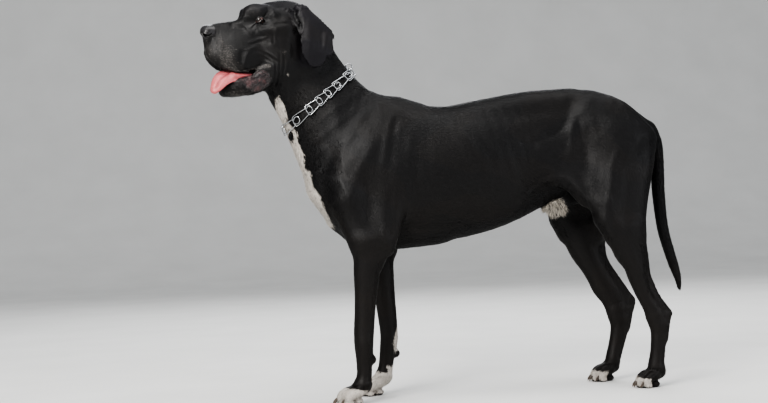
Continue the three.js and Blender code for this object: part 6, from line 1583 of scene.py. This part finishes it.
for name, where, per, LL, rise, droop in SPARE:
    w = np.where(where, per * (0.01), 0) * (1 - bare)
    f, p, n_, ruv = sample(w, rng)
    if not len(f):
        continue
    d = flow_at(p, n_)
    L = LL * rng.uniform(0.6, 1.25, len(f))
    off = tip_height(p, d, L)
    ri = rise * rng.uniform(0.35, 1.4, len(f))
    tone_t = tuft_tones(p, rng)
    for r in np.unique(REG[f]):
        k = REG[f] == r
        coats[r].add(p[k], n_[k], d[k], L[k], (0.42 + 0.035 * L[k]), -0.4, np.maximum(-off[k] * 0.25, -0.5) + L[k] * ri[k] * 0.32 + 0.3, np.maximum(-off[k], -1.5) + L[k] * ri[k], tone_t[k], ruv[k], True, rng, droop)
lap("standing tufts")

# the pale tuft of the sheath
d0 = np.linalg.norm((qc - V(494, 0, 530)) / V(1.2, 1.0, 1.0), axis=1)
f, p, n_, ruv = sample(np.where(d0 < 30, 0.42 * (1.0), 0), rng)
d = unit(V(0.25, 0, -1)) + n_ * 0.30 + rng.normal(0, 0.20, (len(p), 3)) + (0.25 * wob(p, 7, 6.0))[:, None] * V(1, 0.6, 0)
d /= np.linalg.norm(d, axis=1, keepdims=True)
side = np.cross(n_, d)
side /= np.linalg.norm(side, axis=1, keepdims=True) + 1e-9
nn = np.cross(d, side)
L = rng.uniform(7, 27, len(f)) * (0.75 + 0.35 * np.clip(wob(p, 9, 2.0) + 0.5, 0, 1))
tone_t = np.array([0.74, 0.68, 0.60]) * rng.uniform(0.55, 1.12, (len(f), 1))
tone_t[rng.random(len(f)) < 0.10] = 0.02
for r in np.unique(REG[f]):
    k = REG[f] == r
    coats[r].add(p[k], nn[k], d[k], L[k], 0.85, -0.3, 0.6, 0.3, tone_t[k], ruv[k], True, rng, 0.1)

# whiskers and lashes: fine stiff hairs from the lips, chin, brows and the moles of the cheek
W_SPOTS = []
rw = np.random.default_rng(5)
for sg in (1, -1):
    for a, c in [(132, -46), (124, -54), (114, -50), (128, -66), (118, -70), (106, -66), (122, -82), (110, -86), (98, -82), (112, -98), (100, -100), (86, -96), (94, -112), (80, -108)]:
        W_SPOTS.append((a + rw.normal(0, 2), sg, c + rw.normal(0, 2), rw.uniform(18, 32), V(0.15, 0.9 * sg, -0.55)))
    for a, c in [(110, -196), (98, -198), (84, -196)]:
        W_SPOTS.append((a, sg, c, rw.uniform(10, 18), V(0.3, 0.5 * sg, -0.8)))
    for a, c in [(22, 22), (16, 25), (10, 24), (18, 18)]:
        W_SPOTS.append((a, sg, c, rw.uniform(14, 22), V(0.1, 0.6 * sg, 0.7)))
    for a, c in [(-46, -98), (-50, -101), (-44, -103)]:
        W_SPOTS.append((a, sg, c, rw.uniform(10, 16), V(-0.3, 0.8 * sg, -0.4)))
wc, wf, wt, wu, wn = [], [], [], [], 0
w_root, w_ok = trace_side(skin_raw, [[w_[0], w_[2]] for w_ in W_SPOTS], [w_[1] for w_ in W_SPOTS], True)
for (a, sg, c, L, dr), root, ok in zip(W_SPOTS, w_root[:, None], w_ok):
    if not ok:
        continue
    dirn = unit(HF * dr[0] + HL * dr[1] + HU * dr[2])
    bend = unit(-HF * 0.6 - HU * 0.6)
    rows = 5
    pts = [root[0] - dirn * 1.5 + dirn * L * t + bend * (L * 0.22 * t * t) for t in np.linspace(0, 1, rows)]
    u = unit(np.cross(dirn, V(0, 0, 1)))
    v = np.cross(dirn, u)
    for i, q in enumerate(pts[:-1]):
        rr = 0.22 * (1 - i / (rows - 1)) + 0.04
        for j in range(3):
            th = j * 2 * math.pi / 3
            wc.append(q + u * math.cos(th) * rr + v * math.sin(th) * rr)
    wc.append(pts[-1])
    for i in range(rows - 2):
        for j in range(3):
            A, B = wn + i * 3 + j, wn + i * 3 + (j + 1) % 3
            wf += [[A, B, B + 3], [A, B + 3, A + 3]]
    for j in range(3):
        wf.append([wn + (rows - 2) * 3 + j, wn + (rows - 2) * 3 + (j + 1) % 3, wn + (rows - 1) * 3])
    wf.append([wn + 2, wn + 1, wn])
    k = (rows - 1) * 3 + 1
    shade = 0.10 if rw.random() < 0.2 else 0.012
    wt += [[shade] * 3] * k
    near = np.argmin(((qc - root[0]) ** 2).sum(1))
    ctr = quad_uv[near].mean(0)
    wu += [ctr + V(math.cos(j), math.sin(j)) * 0.0012 for j in range(k)]
    wn += k
T = coats[0]
T.co.append(np.array(wc))
T.fa.append(np.array(wf) + T.n)
T.tone.append(np.array(wt))
T.uv.append(np.array(wu))
T.n += len(wc)

for r, name in enumerate(REG_NAMES):
    ob, n = coats[r].build(name)
    counts.append((name, n))
print("coat pieces", counts, sum(c[1] for c in counts), flush=True)
lap("coat")


# ---------------------------------------------------------------- eyes
def eyeball(name, sg, nodename):
    out, along, up = EYE_AXES[sg]
    look = unit(out * 0.80 + HF * 0.42 + HU * 0.02)
    u = unit(np.cross(look, V(0, 0, 1)))
    v = np.cross(u, look)
    rings, seg = 72, 72
    co, tone = [], []
    limbus = math.radians(44)
    for i in range(rings + 1):
        th = math.pi * i / rings
        r = EYE_R + 0.95 * max(0.0, math.cos(min(th / limbus, 1) * math.pi / 2)) ** 0.9
        for j in range(seg):
            ph = 2 * math.pi * j / seg
            dvec = look * math.cos(th) + (u * math.cos(ph) + v * math.sin(ph)) * math.sin(th)
            co.append(EYE_C[sg] + dvec * r)
            if th < math.radians(12.5):
                c = V(0.002, 0.002, 0.003)
            elif th < limbus:
                x = (th - math.radians(12.5)) / (limbus - math.radians(12.5))
                fib = 0.75 + 0.25 * math.sin(ph * 31 + 3 * math.sin(ph * 7)) * math.sin(ph * 17 + 1)
                c = V(0.019, 0.010, 0.006) * fib * (1.0 - 0.75 * max(0, x - 0.72) / 0.28) * (0.6 + 0.6 * math.sin(x * 2.4))
            else:
                x = min(1, (th - limbus) / math.radians(14))
                c = V(0.010, 0.006, 0.005) * (1 - x) + V(0.12, 0.075, 0.062) * x
                c = c * (0.9 + 0.1 * math.sin(ph * 23 + th * 40))
            tone.append(c)
    q = []
    for i in range(rings):
        for j in range(seg):
            A, B = i * seg + j, i * seg + (j + 1) % seg
            q.append([A, A + seg, B + seg, B])
    q = np.array(q)
    co = np.array(co)
    # one point at each pole
    keep = [[i for i in row] for row in q]
    faces3 = []
    faces4 = []
    for a, b, c, d_ in keep:
        if a < seg:
            faces3.append([0, b, c])
        elif b >= rings * seg:
            faces3.append([a, rings * seg, d_])
        else:
            faces4.append([a, b, c, d_])
    used = sorted(set(sum(faces3, [])) | set(sum(faces4, [])))
    remap = {o: i for i, o in enumerate(used)}
    f3 = np.array([[remap[i] for i in f_] for f_ in faces3])
    f4 = np.array([[remap[i] for i in f_] for f_ in faces4])
    a, b, c = co[used][f4[0][0]], co[used][f4[0][1]], co[used][f4[0][2]]
    if np.dot(np.cross(b - a, c - a), a - EYE_C[sg]) < 0:
        f3, f4 = f3[:, ::-1], f4[:, ::-1]
    ob = make_object(name, co[used], [f3, f4], [MAT["eye"]], np.clip(np.array(tone)[used], 0, 1))
    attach(ob, "root")
    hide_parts(nodename)
    return ob


eyeball("eyeball_left", 1, "eye_left")
eyeball("eyeball_right", -1, "eye_right")

# ---------------------------------------------------------------- tongue
tl = [head(0, -34, -205), head(176, 66, -118)]
lo = np.minimum(*tl) - 14
hi = np.maximum(*tl) + 14
tfn = lambda q, reach=14.0, size=72.0: tongue_field(q, reach, size)
TP, tq = surface_nets(tfn, lo, hi, 1.7, coarse=4)
TP = settle(lambda q: tongue_field(q) + 0.25, TP, 2, 3.0)
TN = normals_of(TP, tq)
th = to_head(TP)
mid_line = catmull([head(8, 0, -146), head(50, 2, -142), head(84, 9, -137), head(104, 20, -137), head(122, 30, -142), head(138, 37, -154), head(152, 39, -170)], 6)
mid_line = settle(lambda q: tongue_field(q), mid_line, 4, 10.0)
r, t = poly_distance(TP, mid_line)
TP = TP + TN * (-1.7 * np.exp(-((r / 2.6) ** 2)) + 0.7 * np.exp(-(((r - 8) / 5.0) ** 2)))[:, None]
TP = TP + TN * (0.35 * wob(TP, 3.0, 1.0))[:, None]
TN = normals_of(TP, tq)
edge = smooth(10, 22, r)
pinkc = V(0.66, 0.19, 0.20)[None] * (1 - 0.18 * edge[:, None])
# painted shade: the tongue is darkened along the groove down its middle
groove = np.exp(-((r / 2.2) ** 2))[:, None]
pinkc = pinkc * (1 - 0.35 * groove)
tiprim = (smooth(0.80, 1.0, t) * 0.5)[:, None]
pinkc = pinkc * (1 - tiprim) + V(0.42, 0.09, 0.085) * tiprim
# painted shade: the tongue gets darker further back in the mouth
back = smooth(70, 20, th[:, 0])[:, None]
pinkc = pinkc * (1 - 0.5 * back)
under = smooth(-0.1, -0.6, TN @ unit(HU + HF * 0.3))[:, None]
pinkc = pinkc * (1 - 0.35 * under) + V(0.30, 0.06, 0.07) * 0.35 * under
tongue = make_object("tongue_flesh", TP, tq, [MAT["tongue"]], pinkc)
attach(tongue, "root")
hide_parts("tongue")
lap("eyes and tongue")

# ---------------------------------------------------------------- claws
cc, cf, ct, cn = [], [], [], 0
for ci, (pts, side) in enumerate(CLAWS):
    rows = catmull([list(p) + [r] for p, r in zip(pts, (4.7, 4.6, 3.2, 1.0))], 7)
    K = 14
    for i, row in enumerate(rows):
        a, b = rows[max(i - 1, 0)], rows[min(i + 1, len(rows) - 1)]
        t = unit(b[:3] - a[:3])
        u = unit(side - np.dot(side, t) * t)
        v = np.cross(t, u)
        for j in range(K):
            th_ = 2 * math.pi * j / K
            cu, sv = math.cos(th_) * 0.78, math.sin(th_)
            if sv * (1 if v[2] < 0 else -1) > 0.4:
                sv *= 0.8  # flatter underside
            cc.append(row[:3] + u * cu * row[3] + v * sv * row[3])
            k = i / (len(rows) - 1)
            base = V(0.030, 0.022, 0.018) if ci >= 8 else V(0.060, 0.046, 0.036)
            ct.append(base * (1 - k) + V(0.12, 0.095, 0.075) * k)
    for i in range(len(rows) - 1):
        for j in range(K):
            A, B = cn + i * K + j, cn + i * K + (j + 1) % K
            cf.append([A, B, B + K, A + K])
    c0 = cn + len(rows) * K
    cc += [rows[0][:3], rows[-1][:3] + unit(rows[-1][:3] - rows[-2][:3]) * 0.8]
    ct += [V(0.03, 0.02, 0.02), V(0.12, 0.095, 0.075)]
    for j in range(K):
        cf.append([c0, cn + (j + 1) % K, cn + j])
        e = cn + (len(rows) - 1) * K
        cf.append([c0 + 1, e + j, e + (j + 1) % K])
    cn = c0 + 2
cc = np.array(cc)
cc[:, 2] = np.maximum(cc[:, 2], 2.9)
f4 = np.array([f_ for f_ in cf if len(f_) == 4])
f3 = np.array([f_ for f_ in cf if len(f_) == 3])
a, b, c = cc[f4[0][0]], cc[f4[0][1]], cc[f4[0][2]]
claws = make_object("claws", cc, [f4, f3], [MAT["claw"]], np.array(ct))
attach(claws, "root")
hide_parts(*[n for n in nodes if "_claw_" in n])

# ---------------------------------------------------------------- collar
CO, CU, CW, CN = V(-172, 0, 857), V(0.784, 0, 0.621), V(0, 1, 0), V(-0.621, 0, 0.784)


NA, NL = 97, 13
ga, gl = np.meshgrid(np.linspace(0, 2 * math.pi, NA), np.linspace(-18, 18, NL), indexing="ij")
gd = np.cos(ga.ravel())[:, None] * CU + np.sin(ga.ravel())[:, None] * CW
gr = np.full(NA * NL, 160.0)
for _ in range(24):
    gr = gr - skin_raw(CO + gd * gr[:, None] + CN * gl.ravel()[:, None], reach=60.0) * 0.9
gr = gr.reshape(NA, NL)


def neck_point(ang, lift, out):
    """A place on the collar: angle round the neck, lift along it and distance out from the coat."""
    ang, lift, out = (np.atleast_1d(np.asarray(v, float)) for v in (ang, lift, out))
    ang, lift, out = np.broadcast_arrays(ang, lift, out)
    u = np.mod(ang, 2 * math.pi) / (2 * math.pi) * (NA - 1)
    v = np.clip((lift + 18) / 36 * (NL - 1), 0, NL - 1.001)
    i, j = np.minimum(u.astype(int), NA - 2), v.astype(int)
    fu, fv = u - i, v - j
    r = (gr[i, j] * (1 - fu) + gr[i + 1, j] * fu) * (1 - fv) + (gr[i, j + 1] * (1 - fu) + gr[i + 1, j + 1] * fu) * fv
    d = np.cos(ang)[:, None] * CU + np.sin(ang)[:, None] * CW
    return CO + d * (r + out)[:, None] + CN * lift[:, None]


class Wires:
    def __init__(self):
        self.co, self.fa, self.n = [], [], 0

    def add(self, pts, radius, closed=False, sides=10):
        pts = np.asarray(pts, float)
        n = len(pts)
        t = (np.roll(pts, -1, 0) - np.roll(pts, 1, 0)) if closed else np.gradient(pts, axis=0)
        t /= np.linalg.norm(t, axis=1, keepdims=True)
        rad = np.broadcast_to(radius, n)
        u = unit(np.cross(t[0], V(0.3, 0.7, 0.64)))
        U = []
        for i in range(n):
            u = unit(u - np.dot(u, t[i]) * t[i])
            U.append(u)
        U = np.array(U)
        if closed:  # spread the twist left at the end
            e = U[-1] - np.dot(U[-1], t[0]) * t[0]
            e /= np.linalg.norm(e)
            tw = math.atan2(np.dot(np.cross(e, U[0]), t[0]), np.dot(e, U[0]))
            for i in range(n):
                a = tw * i / n
                U[i] = U[i] * math.cos(a) + np.cross(t[i], U[i]) * math.sin(a)
        Vv = np.cross(t, U)
        ph = np.arange(sides) * 2 * math.pi / sides
        ring = pts[:, None] + rad[:, None, None] * (U[:, None] * np.cos(ph)[None, :, None] + Vv[:, None] * np.sin(ph)[None, :, None])
        self.co.append(ring.reshape(-1, 3))
        m = n if closed else n - 1
        for i in range(m):
            for j in range(sides):
                a, b = i * sides + j, i * sides + (j + 1) % sides
                c, d = ((i + 1) % n) * sides + (j + 1) % sides, ((i + 1) % n) * sides + j
                self.fa.append([self.n + a, self.n + b, self.n + c, self.n + d])
        self.n += n * sides
        if not closed:
            self.co.append(np.array([pts[0] - t[0] * rad[0] * 0.7, pts[-1] + t[-1] * rad[-1] * 0.7]))
            for j in range(sides):
                self.fa.append([self.n, self.n - n * sides + (j + 1) % sides, self.n - n * sides + j])
                self.fa.append([self.n + 1, self.n - sides + j, self.n - sides + (j + 1) % sides])
            self.n += 2

    def build(self, name, mat):
        co = np.concatenate(self.co)
        f4 = np.array([f_ for f_ in self.fa if len(f_) == 4])
        f3 = [f_ for f_ in self.fa if len(f_) == 3]
        return make_object(name, co, [f4, np.array(f3)] if f3 else f4, [mat])


LINKS = 14
wires = Wires()
pitch_a = 2 * math.pi / LINKS
for i in range(LINKS):
    # each link: a wide open end with two shoulders, two long wires that draw together, and a round C that lies inside the next link
    half = [(-0.03, 0.0, 8.6), (-0.03, 7.0, 8.4), (-0.01, 12.2, 7.6), (0.08, 13.6, 6.2), (0.30, 13.0, 5.2), (0.62, 11.0, 5.0), (0.92, 9.0, 5.6), (1.00, 6.2, 6.4), (1.04, 6.4, 6.8), (1.12, 8.8, 7.4), (1.24, 8.9, 8.0), (1.34, 5.6, 8.4), (1.375, 0, 8.6)]
    full = half + [(t, -l, o) for t, l, o in reversed(half[1:-1])]
    k = catmull(full + [full[0]], 4)[:-1]
    q = neck_point((i + k[:, 0]) * pitch_a, k[:, 1], k[:, 2] - 1.8 + 0.9 * (i % 2) + 1.6 * smooth(0.95, 1.2, k[:, 0]))
    wires.add(q, 1.65, True, 9)
    # two blunt prongs turned in to the coat
    for lift in (7.0, -7.0):
        a = (i + 1.36) * pitch_a
        q = neck_point([a, a - 0.012, a - 0.03, a - 0.045], [lift * 0.6, lift * 0.62, lift * 0.62, lift * 0.6], [7.4, 6.6, 4.2, 1.6])
        wires.add(catmull(q, 3), [1.5] * 9 + [1.1], False, 7)
# the ring and its swivel on the uppermost link
rc = neck_point(0.05, 17, 8)[0]
tt = np.linspace(0, 2 * math.pi, 29)[:-1]
wires.add([rc + CN * math.cos(a) * 9.6 + CU * math.sin(a) * 8.6 for a in tt], 1.9, True, 10)
rc2 = neck_point(0.16, 4, 7.5)[0]
wires.add([rc2 + CN * math.cos(a) * 7.5 + unit(CW + CU * 0.4) * math.sin(a) * 6.5 for a in tt], 1.5, True, 10)
collar = wires.build("chain_collar", MAT["steel"])
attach(collar, "root")
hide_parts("collar")
lap("claws and collar")

# ---------------------------------------------------------------- floor, light, camera
me = bpy.data.meshes.new("floor")
R, back, wall = 14.0, 9.0, 9.0
rows = []
for i in range(41):
    t = i / 40
    if t < 0.5:
        y, z = -16 + (back - 3 + 16) * (t / 0.5), 0.0
    elif t < 0.8:
        a = (t - 0.5) / 0.3 * math.pi / 2
        y, z = back - 3 + 3 * math.sin(a), 3 - 3 * math.cos(a)
    else:
        y, z = back, 3 + (wall - 3) * (t - 0.8) / 0.2
    rows.append((y, z))
vs = [(x, y, z) for y, z in rows for x in (-R, R)]
fs = [(2 * i, 2 * i + 1, 2 * i + 3, 2 * i + 2) for i in range(len(rows) - 1)]
me.from_pydata(vs, [], fs)
me.polygons.foreach_set("use_smooth", [True] * len(me.polygons))
floor = bpy.data.objects.new("studio_floor", me)
bpy.context.scene.collection.objects.link(floor)
fm, nt, bs = new_mat("studio_paper")
tc = node(nt, "ShaderNodeTexCoord").outputs["Object"]
n = noise(nt, tc, 3.0, 3)
nt.links.new(ramp(nt, n.outputs["Fac"], [(0.3, (0.66, 0.655, 0.64)), (0.7, (0.70, 0.695, 0.68))]).outputs[0], bs.inputs["Base Color"])
bs.inputs["Roughness"].default_value = 0.9
bs.inputs["Specular IOR Level"].default_value = 0.2
me.materials.append(fm)

world = bpy.data.worlds.new("studio")
bpy.context.scene.world = world
world.use_nodes = True
world.node_tree.nodes["Background"].inputs[0].default_value = (0.93, 0.96, 1.0, 1)
world.node_tree.nodes["Background"].inputs[1].default_value = 0.50


def area_light(name, where, at, size, power, colour):
    l = bpy.data.lights.new(name, "AREA")
    l.shape = "RECTANGLE"
    l.size, l.size_y = size
    l.energy = power
    l.color = colour
    o = bpy.data.objects.new(name, l)
    o.location = where
    o.rotation_euler = (Vector(at) - Vector(where)).to_track_quat("-Z", "Y").to_euler()
    bpy.context.scene.collection.objects.link(o)
    return o


area_light("overhead", (0.2, -0.6, 4.2), (0, 0, 0.6), (5.0, 3.0), 110, (1.0, 0.99, 0.97))
area_light("key", (-2.4, -3.4, 3.0), (-0.1, 0, 0.7), (1.8, 1.4), 150, (1.0, 0.98, 0.95))
area_light("fill", (3.4, -3.0, 1.8), (0.3, 0, 0.6), (2.4, 2.0), 45, (0.95, 0.97, 1.0))
area_light("rim", (0.6, 3.6, 2.8), (0, 0, 0.8), (4.0, 1.6), 80, (0.96, 0.98, 1.0))

PSI, RHO, FPX = math.radians(8.0), math.radians(2.3), 1615.0
tau = math.atan(11.5 / FPX)
f0, right, up0 = V(math.sin(PSI), math.cos(PSI), 0), V(math.cos(PSI), -math.sin(PSI), 0), V(0, 0, 1)
fwd, upv = f0 * math.cos(tau) - up0 * math.sin(tau), up0 * math.cos(tau) + f0 * math.sin(tau)
cx, cy = right * math.cos(RHO) - upv * math.sin(RHO), right * math.sin(RHO) + upv * math.cos(RHO)
loc = (-f0 * 4600 + up0 * 595) / 1000 + SHIFT
cam = bpy.data.cameras.new("photo_view")
cam.sensor_width = 36
cam.lens = FPX / 768 * 36
co = bpy.data.objects.new("photo_view", cam)
co.matrix_world = Matrix(((cx[0], cy[0], -fwd[0], loc[0]), (cx[1], cy[1], -fwd[1], loc[1]), (cx[2], cy[2], -fwd[2], loc[2]), (0, 0, 0, 1)))
bpy.context.scene.collection.objects.link(co)
bpy.context.scene.camera = co
vs_ = bpy.context.scene.view_settings
vs_.view_transform = "AgX"
vs_.look = "AgX - High Contrast"
vs_.exposure = 0.0

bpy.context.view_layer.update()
lap("done")
